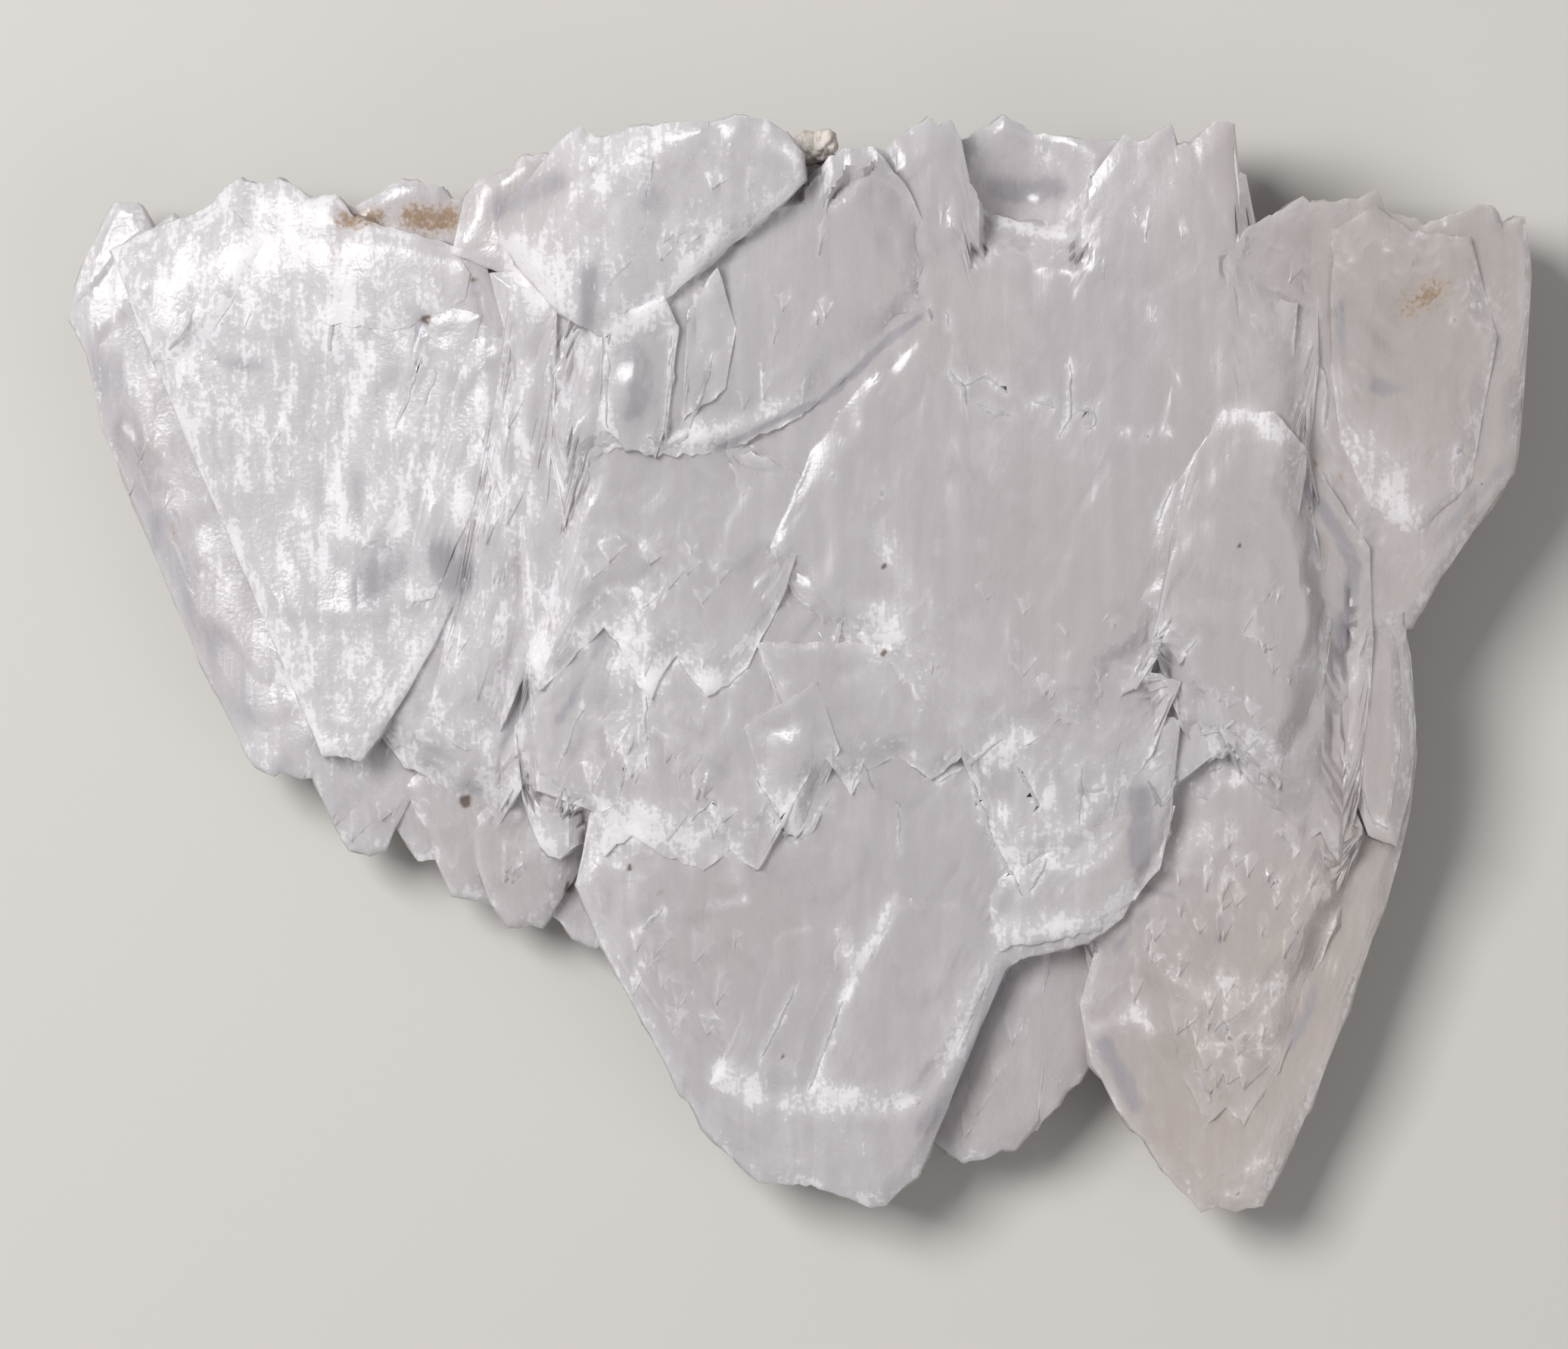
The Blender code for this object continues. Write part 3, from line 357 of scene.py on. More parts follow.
# Marks in the crystal, with painted highlights and glints among them. Each stroke is a line of
# points, its half width and its strength.
VEILS_AND_HIGHLIGHTS = (
    (((-45.8, 24.6), (-41.3, 12.7), (-37.4, 4.6), (-30.6, -5.5), (-28.6, -6.2)), 0.5, 0.7),
    (((-41.3, 21.1), (-39.5, 23.8)), 0.35, 1.0),
    (((-42.7, 19.8), (-40.8, 19.3), (-39.2, 22.2)), 0.4, 1.0),
    (((-30.7, 21.0), (-30.4, 23.0)), 0.3, 1.0),
    (((-30.4, 23.0), (-29.5, 27.2)), 0.5, 0.5),
    (((-27.9, 20.6), (-30.3, 12.5), (-30.4, 11.4)), 0.6, 0.6),
    # Painted highlights: the key light shining on the top of the left wing.
    (((-35.8, 23.5), (-34.0, 29.0)), 1.3, 0.7),
    (((-34.7, 28.5), (-32.0, 31.0)), 2.4, 0.8),
    # A painted highlight on the slope left of the crown.
    (((-18.5, 27.8), (-16.8, 25.0), (-15.5, 23.0)), 1.1, 1.0),
    (((-24.5, 20.6), (-26.2, 15.8)), 0.35, 0.9),
    (((-23.4, 20.3), (-24.3, 17.4)), 0.25, 0.8),
    (((-20.5, 19.5), (-20.8, 14.8)), 0.4, 0.8),
    (((-21.4, 14.0), (-22.1, 9.3)), 0.5, 1.0),
    (((-25.5, 13.0), (-25.9, 9.3)), 0.4, 0.9),
    (((-20.5, 15.3), (-19.2, 11.4)), 0.25, 0.9),
    (((-17.3, 19.8), (-18.0, 15.3), (-17.3, 11.4)), 0.5, 0.8),
    (((-16.0, 20.6), (-15.8, 16.6)), 0.2, 0.8),
    (((-7.9, 21.9), (-8.5, 14.8)), 0.3, 1.0),
    (((-12.1, 21.9), (-12.3, 15.8)), 0.2, 0.8),
    (((-5.2, 20.6), (-6.8, 15.8)), 0.25, 0.7),
    (((-9.5, 15.3), (-8.5, 14.5), (-7.0, 15.5)), 0.35, 0.9),
    (((-6.8, 15.0), (0.0, 17.4)), 0.7, 0.75),
    (((3.9, 15.9), (4.8, 19.4), (6.8, 22.0)), 0.5, 0.5),
    (((0.2, 30.8), (-5.2, 27.4), (-9.4, 23.6), (-12.6, 21.4)), 0.5, 1.0),
    (((-6.5, 25.5), (-11.0, 21.5)), 1.2, 0.6),
    (((-2.0, 35.0), (0.3, 32.7), (0.3, 31.2), (-5.0, 27.4)), 0.5, 0.7),
    (((-17.0, 1.4), (-16.8, -0.8)), 0.9, 1.0),
    (((-11.3, 2.7), (-9.4, -1.3), (-7.7, 0.6)), 0.5, 1.0),
    (((-9.6, 1.4), (-9.5, 0.2)), 1.2, 0.7),
    (((-6.5, -0.5), (-4.3, -0.8)), 0.7, 0.9),
    (((-20.5, -4.6), (-18.8, -5.2)), 1.5, 0.8),
    (((-20.0, -7.8), (-18.6, -8.5)), 1.1, 0.9),
    (((-9.8, -1.8), (-9.8, -6.5)), 0.2, 0.7),
    (((-10.6, -4.2), (-11.6, -8.4)), 0.2, 0.6),
    (((-14.0, -2.6), (-15.6, -6.5)), 0.2, 0.6),
    (((-15.8, -9.2), (-15.3, -7.8), (-14.6, -9.3)), 0.2, 0.9),
    (((-6.8, -10.0), (-5.4, -8.5), (-4.9, -9.8)), 0.2, 0.7),
    (((-12.4, -9.8), (-9.9, -10.2), (-6.3, -11.2)), 1.4, 1.0),
    (((-17.0, -11.5), (-13.0, -11.5)), 1.3, 0.7),
    (((-4.0, -11.5), (-3.9, -14.0)), 0.5, 0.8),
    (((-5.3, -15.6), (-3.2, -15.2)), 0.4, 0.9),
    (((-10.6, -17.5), (-8.8, -16.0)), 0.35, 0.9),
    (((-2.4, -7.3), (-0.4, -11.2), (1.0, -10.6), (2.4, -8.3)), 0.35, 0.9),
    (((-0.5, -8.5), (-0.3, -10.8)), 1.2, 1.0),
    (((-1.7, -4.5), (-1.6, -4.6)), 0.5, 0.9),
    (((0.0, -4.2), (0.2, -4.1)), 0.6, 0.9),
    (((3.8, -8.0), (4.6, -6.0), (5.4, -8.2)), 0.2, 0.7),
    (((6.9, -8.8), (7.0, -12.2)), 0.2, 0.6),
    (((6.6, -15.2), (3.2, -22.0)), 0.55, 1.0),
    (((3.2, -22.0), (1.0, -28.0)), 0.25, 0.9),
    (((3.6, -17.5), (3.7, -19.5)), 0.5, 0.8),
    (((0.0, -21.2), (-2.1, -25.7)), 0.25, 0.9),
    (((-4.8, -26.9), (-2.5, -28.5), (0.0, -29.0), (3.0, -28.8), (6.0, -29.1), (8.2, -28.8),
      (9.8, -27.5), (10.8, -25.4), (12.4, -22.0), (14.4, -16.7)), 0.9, 0.75),
    (((-4.4, -26.9), (-3.2, -27.7)), 1.0, 1.0),
    (((2.4, -28.6), (4.0, -28.6)), 1.0, 1.0),
    (((12.4, 29.9), (13.9, 29.4), (15.7, 28.9), (18.1, 28.3)), 0.4, 1.0),
    (((19.5, 32.5), (19.6, 32.4)), 0.35, 1.0),
    (((18.4, 30.3), (18.3, 30.1)), 0.4, 1.0),
    (((8.8, 23.7), (8.9, 22.8)), 0.22, 0.9),
    (((10.0, 23.3), (10.1, 22.4)), 0.22, 0.9),
    (((10.2, 19.6), (10.9, 18.6), (11.2, 17.3)), 0.28, 1.0),
    (((10.9, 18.6), (12.5, 19.2), (14.0, 18.2)), 0.24, 0.8),
    (((11.9, 17.4), (14.2, 16.6)), 0.3, 0.6),
    (((15.7, 17.5), (16.6, 17.7), (17.0, 17.1)), 0.35, 0.9),
    (((18.1, 20.0), (18.1, 16.4), (17.4, 15.2)), 0.2, 1.0),
    (((18.6, 16.9), (19.2, 17.1), (19.8, 16.6), (19.6, 15.9), (19.0, 15.7)), 0.24, 1.0),
    (((21.4, 15.7), (21.8, 15.4)), 0.4, 1.0),
    (((23.1, 15.4), (23.1, 15.2)), 0.35, 1.0),
    (((24.3, 15.8), (24.5, 15.6)), 0.4, 1.0),
    (((28.0, 16.3), (29.9, 16.8), (31.6, 15.4)), 0.8, 0.9),
    (((24.8, 12.0), (23.8, 9.7)), 0.25, 1.0),
    (((34.0, 10.5), (34.4, 7.0)), 0.3, 0.9),
    (((33.7, 5.4), (33.7, 5.0)), 0.3, 0.9),
    (((34.9, 19.7), (34.9, 15.9)), 0.3, 1.0),
    (((34.0, 22.5), (33.8, 20.0)), 0.9, 0.5),
    (((38.2, 14.5), (40.5, 10.5)), 1.6, 0.6),
    (((43.7, 14.6), (43.8, 14.2)), 0.35, 1.0),
    (((45.0, 24.4), (45.0, 24.2)), 0.3, 1.0),
    (((43.4, 23.2), (43.5, 22.9)), 0.3, 1.0),
    (((45.4, 12.4), (45.4, 12.2)), 0.3, 1.0),
    (((24.5, 2.9), (23.1, -0.7)), 0.3, 1.0),
    (((25.7, 1.1), (26.5, 2.0)), 0.3, 0.9),
    (((13.7, -5.6), (15.0, -4.4)), 1.0, 1.0),
    (((9.6, -7.5), (13.6, -4.5)), 0.25, 0.8),
    (((14.8, -6.3), (16.3, -9.2)), 0.2, 0.8),
    (((16.7, -8.2), (16.7, -8.6)), 0.45, 0.9),
    (((11.8, -7.3), (12.9, -10.6), (14.1, -13.0), (15.1, -14.9)), 0.3, 0.9),
    (((16.7, -12.5), (15.6, -14.7)), 0.3, 0.9),
    (((14.7, -12.5), (15.1, -14.4)), 0.9, 1.0),
    (((17.0, -13.0), (18.2, -13.3), (20.0, -12.8), (21.5, -11.1)), 0.4, 0.9),
    (((19.0, -12.3), (20.3, -11.6)), 0.9, 0.7),
    (((18.9, -6.4), (18.9, -10.2)), 0.3, 0.7),
    (((19.0, -8.0), (20.5, -7.8)), 0.3, 0.6),
    (((23.4, -7.3), (24.3, -9.0), (25.3, -7.1)), 0.3, 0.8),
    (((26.4, -7.8), (27.4, -8.7)), 0.3, 0.8),
    (((27.6, -6.8), (30.6, -4.6)), 0.35, 0.7),
    (((29.2, -7.6), (33.0, -5.2)), 0.4, 0.8),
    (((26.8, -4.2), (29.0, -3.4)), 0.35, 0.6),
    (((14.4, -17.2), (16.7, -17.2), (20.5, -16.7), (22.6, -14.6), (23.8, -12.7),
      (27.2, -10.9)), 1.0, 0.9),
    (((25.3, -20.5), (27.6, -21.8)), 0.7, 0.7),
    (((28.1, -20.7), (30.7, -21.5)), 0.7, 0.7),
    (((20.0, -23.9), (21.2, -23.4), (22.9, -23.0), (23.8, -24.1)), 0.5, 0.8),
    (((22.2, -22.0), (22.8, -22.6)), 1.0, 0.6),
    (((32.6, -20.3), (30.9, -25.0)), 0.5, 0.6),
    # Painted glints, where the light catches small faces of the right spear.
    (((32.1, -13.9), (32.0, -14.2)), 0.35, 1.0),
    (((33.4, -15.4), (33.3, -15.8)), 0.3, 1.0),
    (((35.4, -19.4), (35.9, -19.8)), 0.5, 1.0),
    (((29.2, -29.6), (29.3, -29.9)), 0.3, 1.0),
    (((30.4, -33.3), (30.9, -32.9)), 0.4, 1.0),
    (((29.4, -35.0), (29.7, -34.8)), 0.3, 1.0),
    (((27.2, -25.0), (28.5, -23.4), (29.3, -25.0)), 0.25, 0.6),
    (((26.7, -26.3), (27.8, -28.8)), 0.25, 0.6),
    (((36.4, -5.9), (37.5, -7.8), (38.1, -9.7), (39.4, -10.6)), 0.25, 0.9),
    (((40.2, 3.8), (40.8, -2.1), (41.0, -6.0)), 0.25, 0.5),
    (((35.4, 3.4), (35.1, 2.3)), 0.3, 1.0),
    (((5.5, 9.0), (7.2, 6.0)), 0.8, 0.6),
    (((6.0, 4.0), (7.2, 1.8)), 0.8, 0.6),
    (((-1.4, 9.0), (-1.0, 8.0)), 0.5, 0.6),
    (((9.5, 7.9), (9.6, 7.7)), 0.4, 0.6),
    (((12.3, 8.5), (12.3, 8.2)), 0.4, 0.6),
    (((2.5, 12.8), (2.6, 12.6)), 0.35, 0.7),
    (((5.7, 11.8), (5.9, 11.4)), 0.35, 0.7),
)

# Soft milky clouds, and over the left wing the glow of light scattered through it, painted in
# as milk: centre, radius and strength.
CLOUDS_AND_GLOW = (
    ((-34.0, 14.0), 12.0, 0.8), ((-37.0, 25.0), 8.0, 0.7), ((-26.0, 26.0), 6.0, 0.4),
    ((-28.0, -2.0), 7.0, 0.6), ((-17.0, 25.0), 4.0, 0.6), ((-8.0, 30.0), 9.0, 0.4),
    ((-36.0, 26.0), 6.0, 0.5), ((-38.0, 17.0), 6.0, 0.5), ((-33.0, 8.0), 7.0, 0.65),
    ((-29.0, -1.0), 4.5, 0.7), ((-22.0, 16.0), 5.0, 0.45), ((-22.0, 0.0), 4.5, 0.6),
    ((-20.0, 12.0), 5.0, 0.5), ((-9.0, 32.0), 6.0, 0.3), ((-5.0, 26.0), 3.5, 0.5),
    ((-12.0, -10.0), 4.5, 0.6), ((-1.0, -30.0), 7.0, 0.35), ((12.0, -24.0), 3.5, 0.4),
    ((29.0, -18.0), 5.5, 0.3), ((30.0, -31.0), 5.0, 0.25), ((-20.0, -13.0), 6.0, 0.35),
    ((-30.0, -10.0), 3.5, 0.3), ((15.0, -11.0), 3.5, 0.4), ((40.0, 12.0), 4.0, 0.3),
    ((-10.0, 1.0), 4.0, 0.35), ((20.0, -15.0), 4.0, 0.4), ((-25.5, 25.5), 4.0, 0.7),
)

# Duller places, with less milk in them: centre, radius and strength.
DIM_PLACES = (
    ((-22.0, -13.0), 7.0, 0.8), ((30.0, -26.0), 11.0, 0.9), ((12.0, -28.0), 6.0, 0.8),
    ((25.0, -14.0), 5.0, 0.4), ((-20.5, 28.5), 4.0, 0.7),
    ((-44.5, 14.0), 4.0, 0.7), ((-39.0, 2.0), 4.0, 0.6), ((-18.0, 31.0), 4.0, 0.7),
    ((20.0, 6.0), 12.0, 0.7), ((10.0, 24.0), 9.0, 0.6), ((-4.0, -17.0), 9.0, 0.6),
    ((-11.0, -6.0), 4.0, 0.4),
)

# Ragged places, full of tiny white V-shaped edges: centre, radius and strength.
RAGGED_PLACES = (
    ((-11.0, 1.5), 7.0, 0.8), ((-9.0, -9.5), 7.0, 0.55), ((6.5, 4.5), 4.0, 0.75),
    ((7.5, 10.5), 4.0, 0.4), ((14.0, -5.0), 5.0, 0.75), ((27.0, -7.0), 6.5, 0.75),
    ((18.0, -10.5), 5.0, 0.6), ((30.0, -15.0), 6.5, 0.75), ((31.0, -22.0), 5.0, 0.5),
    ((23.0, -20.0), 5.0, 0.45), ((28.0, -31.5), 4.5, 0.45), ((-2.0, -26.0), 5.0, 0.45),
    ((-20.0, -12.0), 6.0, 0.55), ((-24.0, -4.0), 5.0, 0.55), ((40.0, 13.0), 7.0, 0.85),
    ((37.0, 25.0), 6.0, 0.65), ((44.0, 24.0), 6.0, 0.65),
    ((41.0, 20.0), 5.0, 0.7), ((-10.0, 7.0), 5.0, 0.5), ((20.0, 16.5), 7.0, 0.35),
    ((24.0, 26.0), 6.0, 0.3), ((-18.0, 8.0), 6.0, 0.55), ((-14.0, 22.0), 5.0, 0.4),
    ((-8.0, 15.0), 4.0, 0.5), ((-30.0, -3.5), 4.0, 0.4), ((0.5, -9.5), 4.0, 0.45),
    ((36.5, 0.0), 4.0, 0.4), ((-39.0, 25.0), 5.0, 0.5), ((12.0, -24.0), 4.0, 0.35),
)

# Pitch, reach and spacing of the two kinds of flecks, and their seeds.
FLECK_SIZES = ((2.6, 2.4, 3.1, 301), (1.5, 1.5, 1.9, 317))

# Places where the crystal is clear and the dark of its depth shows.
WINDOWS = (
    (((-28.4, 5.2), (-26.9, 7.0)), 1.5, 1.0),
    (((-23.2, 7.4), (-22.2, 6.2)), 1.4, 1.0),
    (((-28.8, 12.6), (-28.8, 10.2)), 0.8, 0.5),
    (((-13.3, 25.8), (-13.5, 22.8)), 0.8, 0.8),
    (((-10.2, 20.6), (-10.4, 16.8)), 1.2, 0.7),
    (((-5.6, 19.5), (-6.4, 17.4)), 0.6, 0.5),
    (((-12.6, 2.2), (-13.8, -0.4), (-15.6, -3.4)), 0.5, 0.6),
    (((22.9, -8.4), (22.9, -12.6)), 1.1, 1.0),
    (((33.4, 12.3), (35.7, 9.4), (37.0, 6.7), (36.7, 4.4), (35.7, -0.4)), 0.6, 0.9),
    (((38.4, 18.6), (40.0, 18.4)), 0.7, 0.7),
    (((35.9, 24.4), (35.9, 20.4)), 0.9, 0.6),
    (((42.3, 8.2), (47.5, 14.1)), 0.7, 0.5),
    (((13.2, 31.6), (17.2, 31.6)), 1.1, 0.9),
    (((-19.4, 30.2), (-15.5, 31.8)), 1.2, 0.7),
    (((-9.0, 30.9), (-9.0, 30.2)), 0.9, 0.6),
    (((20.8, -24.9), (22.6, -29.0)), 0.8, 0.8),
    (((14.1, -20.1), (11.6, -26.0), (8.8, -30.5)), 1.0, 0.7),
    (((8.6, 23.2), (6.2, 21.6), (3.9, 19.4), (1.8, 17.6), (-2.0, 15.9), (-5.0, 14.4)), 0.3, 0.9),
    (((-38.2, 20.4), (-35.4, 20.0)), 0.7, 0.5),
    (((-46.2, 20.0), (-41.6, 8.0), (-36.6, -3.0)), 2.0, 0.5),
    (((-32.0, -8.6), (-28.0, -9.4)), 2.2, 0.4),
    (((-27.3, -4.8), (-25.6, -2.0)), 0.5, 0.6),
    (((-17.7, -1.0), (-19.4, -5.4)), 0.3, 0.8),
    (((24.4, 1.2), (24.6, 0.4)), 0.6, 1.0),
    (((23.0, -14.4), (25.0, -15.0)), 0.5, 0.7),
    (((21.5, -18.4), (23.2, -16.4)), 0.6, 0.6),
    (((28.2, -16.6), (28.2, -18.2)), 0.5, 0.6),
    (((33.8, -17.2), (33.2, -18.6)), 0.6, 0.6),
    (((34.9, -20.8), (33.1, -25.0)), 0.6, 0.6),
    (((-12.2, 33.0), (-10.0, 30.0)), 0.6, 0.3),
    (((2.0, 2.0), (2.2, -6.0)), 0.8, 0.3),
    (((-7.4, -6.2), (-4.6, -6.6)), 1.6, 0.4),
    (((-20.9, 25.4), (-20.6, 23.0)), 0.5, 0.7),
    (((-24.4, 23.0), (-24.9, 21.8)), 0.5, 0.9),
)

# Small dark holes and grains.
SPECKS = (
    ((-15.1, -14.6), 0.5), ((-10.9, -13.1), 0.28), ((-8.9, -14.8), 0.32), ((5.9, 6.7), 0.3),
    ((5.9, 1.1), 0.35), ((-0.7, -25.6), 0.3), ((-21.9, -8.8), 0.6), ((-6.6, -16.3), 0.25),
    ((-24.2, 23.0), 0.5), ((-21.0, 25.6), 0.35), ((29.1, 8.2), 0.35),
)

# Iron stains.
STAINS = (
    (((-25.2, 30.0), (-24.2, 29.6), (-22.8, 29.9)), 1.2, 1.0),
    (((-29.6, 29.6), (-27.6, 29.9)), 1.0, 0.9),
    (((-41.3, 9.6), (-41.2, 8.4)), 0.45, 0.6),
    (((40.6, 23.8), (41.6, 24.6)), 1.5, 0.75),
    (((42.4, 25.2), (43.0, 25.4)), 0.9, 0.5),
    (((38.6, 21.9), (38.8, 21.6)), 0.6, 0.4),
    (((34.3, 13.7), (34.4, 13.4)), 0.3, 0.8),
    (((35.9, 13.0), (36.0, 12.6)), 0.32, 0.9),
    (((-16.1, 2.8), (-16.1, 2.6)), 0.22, 0.7),
)


def linear(hex_colour, alpha=1.0):
    """An sRGB hex value as linear light: ((c + 0.055) / 1.055) ^ 2.4, or c / 12.92 near black."""
    parts = [int(hex_colour[i:i + 2], 16) / 255.0 for i in (1, 3, 5)]
    light = [c / 12.92 if c <= 0.04045 else ((c + 0.055) / 1.055) ** 2.4 for c in parts]
    return (*light, alpha)


# What a user may change

class SeleniteSizes(bpy.types.PropertyGroup):
    """Spacing of the grids and depth of the broken detail"""
    grid_step: bpy.props.FloatProperty(
        name="Grid step", description="Spacing of the grid on a blade's top face",
        default=0.00042, min=0.0002, unit="LENGTH", precision=5)
    wall_step: bpy.props.FloatProperty(
        name="Side step", description="Spacing of the rows up a broken side",
        default=0.0008, min=0.0003, unit="LENGTH", precision=5)
    sheet: bpy.props.FloatProperty(
        name="Cleavage sheet", description="Thickness of one cleavage sheet in a broken side",
        default=0.0008, min=0.0002, unit="LENGTH", precision=5)
    sheet_relief: bpy.props.FloatProperty(
        name="Sheet relief", description="How far the sheets of a side stand out and back",
        default=0.00022, min=0.0, unit="LENGTH", precision=5)
    fray: bpy.props.FloatProperty(
        name="Fray", description="Depth of the fine teeth along a rim",
        default=0.00016, min=0.0, unit="LENGTH", precision=5)


class SeleniteColours(bpy.types.PropertyGroup):
    """Colours of the crystal and of the rock"""
    body: bpy.props.FloatVectorProperty(
        name="Body", description="Milky crystal", subtype="COLOR", size=4,
        min=0.0, max=1.0, default=linear("#CFCACC"))
    # The veil colour is also that of the painted highlights, glints and glow on the faces.
    veil: bpy.props.FloatVectorProperty(
        name="Veil", description="Frosty cleavage and clouds of flaws", subtype="COLOR", size=4,
        min=0.0, max=1.0, default=linear("#E9E6E8"))
    window: bpy.props.FloatVectorProperty(
        name="Window", description="Clear crystal, with its depth showing", subtype="COLOR",
        size=4, min=0.0, max=1.0, default=linear("#B4B0B6"))
    warm: bpy.props.FloatVectorProperty(
        name="Warm body", description="Crystal with a trace of clay", subtype="COLOR", size=4,
        min=0.0, max=1.0, default=linear("#CCC2BC"))
    iron: bpy.props.FloatVectorProperty(
        name="Iron", description="Rusty stain of iron oxide", subtype="COLOR", size=4,
        min=0.0, max=1.0, default=linear("#8E7250"))
    rock: bpy.props.FloatVectorProperty(
        name="Rock", description="Sandy rock of the crumb", subtype="COLOR", size=4,
        min=0.0, max=1.0, default=linear("#D9CCBF"))
    grit: bpy.props.FloatVectorProperty(
        name="Grit", description="Dark grains in the rock", subtype="COLOR", size=4,
        min=0.0, max=1.0, default=linear("#5A4638"))


class StudioSetup(bpy.types.PropertyGroup):
    """Floor, lights and lens"""
    floor: bpy.props.FloatVectorProperty(
        name="Floor", description="Painted board under the specimen", subtype="COLOR", size=4,
        min=0.0, max=1.0, default=linear("#C9C6C2"))
    key_power: bpy.props.FloatProperty(
        name="Key power", description="Softbox at the upper left", default=3.2, min=0.0,
        unit="POWER")
    fill_power: bpy.props.FloatProperty(
        name="Fill power", description="Softbox at the lower right", default=0.8, min=0.0,
        unit="POWER")
    lens: bpy.props.FloatProperty(
        name="Lens", description="Focal length of the camera", default=200.0, min=20.0,
        unit="CAMERA")


# Numbers on grids

MIXERS = (73856093, 19349663, 83492791, 1274126177)  # large odd numbers that mix a corner's bits


def corner_value(i, j, seed):
    """A fixed random value from -1 to 1 for each whole-number corner, by mixing its bits."""
    bits = (i.astype(np.int64) * MIXERS[0]) ^ (j.astype(np.int64) * MIXERS[1]) ^ (seed * MIXERS[2])
    bits = ((bits ^ (bits >> 13)) & 0xFFFFFF) * MIXERS[3]
    return ((bits ^ (bits >> 16)) & 0xFFFF) / 32767.5 - 1.0


def noise(x, y, seed):
    """Smooth noise: the four corner values round a point, blended by 3t^2 - 2t^3 each way."""
    x, y = np.broadcast_arrays(np.asarray(x, float), np.asarray(y, float))
    i, j = np.floor(x), np.floor(y)
    tx, ty = x - i, y - j
    tx, ty = tx * tx * (3 - 2 * tx), ty * ty * (3 - 2 * ty)
    low = corner_value(i, j, seed) * (1 - tx) + corner_value(i + 1, j, seed) * tx
    high = corner_value(i, j + 1, seed) * (1 - tx) + corner_value(i + 1, j + 1, seed) * tx
    return low * (1 - ty) + high * ty


def smooth(low, high, value):
    """0 below low, 1 above high, and 3t^2 - 2t^3 between."""
    t = np.clip((value - low) / (high - low), 0.0, 1.0)
    return t * t * (3 - 2 * t)


def distance_to_line(x, y, points):
    """The plan distance from each place to the nearest piece of an open line of points."""
    nearest = np.full(np.shape(x), np.inf)
    for (ax, ay), (bx, by) in zip(points[:-1], points[1:]):
        dx, dy = bx - ax, by - ay
        share = np.clip(((x - ax) * dx + (y - ay) * dy) / (dx * dx + dy * dy + 1e-12), 0.0, 1.0)
        nearest = np.minimum(nearest, np.hypot(x - ax - share * dx, y - ay - share * dy))
    return nearest


def inside(rim, x, y):
    """Whether each place lies in a closed outline: a ray to +X crosses it an odd number of times."""
    points = np.array(rim, dtype=float)
    crossings = np.zeros(np.shape(x), dtype=int)
    for (ax, ay), (bx, by) in zip(points, np.roll(points, -1, axis=0)):
        if ay != by:
            spans = (ay > y) != (by > y)
            crossings += spans & (x < ax + (y - ay) * (bx - ax) / (by - ay))
    return crossings % 2 == 1


def marked(x, y, strokes, least):
    """How strongly strokes mark each place: 1 - product of (1 - strength * exp(-(d / w)^2))."""
    left = np.ones(np.shape(x))
    for points, half_width, strength in strokes:
        width = max(half_width, least)
        line = np.array(points)
        reach = 2.6 * width
        near = (x > line[:, 0].min() - reach) & (x < line[:, 0].max() + reach) \
            & (y > line[:, 1].min() - reach) & (y < line[:, 1].max() + reach)
        distance = distance_to_line(x[near], y[near], points)
        left[near] *= 1.0 - strength * np.exp(-(distance / width) ** 2)
    return 1.0 - left


# Surfaces of the blades

# Blades whose tips end on other blades: they are thin there, with ragged, feathery edges.
INNER = ("toothed_layer", "great_pane", "centre_apron", "centre_ledge", "twin_fang", "right_pane",
         "pale_fang", "streak_3", "left_apron", "streak_4", "streak_5", "upper_pane",
         "right_spear_upper", "right_heart")
SEEDS = {name: 11 + 17 * number for number, name in enumerate((*BLADES, *LAYERS))}
BEVEL = (0.45, 1.0)  # rise and width of the worn bevel round a top face
INNER_BEVEL = (0.7, 1.3)  # how much of that rise and that width an inner blade or a layer has
LAYER_DEPTH = 0.9  # how far a thin layer reaches down into the blade that it lies on
FEATHER_WIDTH = 3.0  # over this way from its rim, an inner blade thins out to a feather edge
FEATHER_MOST = 4.2  # where it stands further out than this, its edge is broken and only bevelled
FEATHER_ROOT = 3.5  # this near its root, a blade has no feather edge
FEATHER_LIP = 0.12  # what is left of it at the rim
INNER_FRAY = 2.6  # how much deeper the teeth of an inner blade's or a layer's tip are
ROOT_FRAY = 1.6  # and the teeth of any root
UNDER_BEVEL = 1.6  # rise and width of the bevel round an underside
LEAST_THICKNESS = 0.9  # of a blade at its rim
RIDGE_STEP = 0.4  # between the stations of a ridge
FINE_VEIL = 0.36  # a veil with no more half width than this also stands out as a ridge
SCALE_SEED = 4
SCALE_TRIES = 12  # places tried for each scale, of which the first that suit are taken
SCALE_ROOT = 0.45  # how far below its host's face a scale's underside lies
RIM_FADE, TIP_FADE = 0.5, 2.2  # over this way the marks of a rim and of a tip fade by a factor e
FAR = 99.0
TOP, SIDE, UNDER = 0, 1, 2

# The support under a place is the mean over these offsets from it.
SUPPORT_PLACES = (
    (0.0, 0.0), (0.0, -1.1), (0.0, 1.1), (1.0, 0.5), (-1.0, 0.5), (0.9, -0.6), (-0.9, -0.6),
)

# Hidden or plain blades, whose grids are this much coarser.
COARSE = {
    "cleaved_back": 3.0, "heart": 2.8, "left_heart": 2.6, "right_heart": 1.2, "left_rim": 1.2,
    "crumb_ledge": 1.6,
}


def rim_of(name):
    """The outline of a blade or a layer in plan."""
    return (BLADES.get(name) or LAYERS.get(name))["rim"]


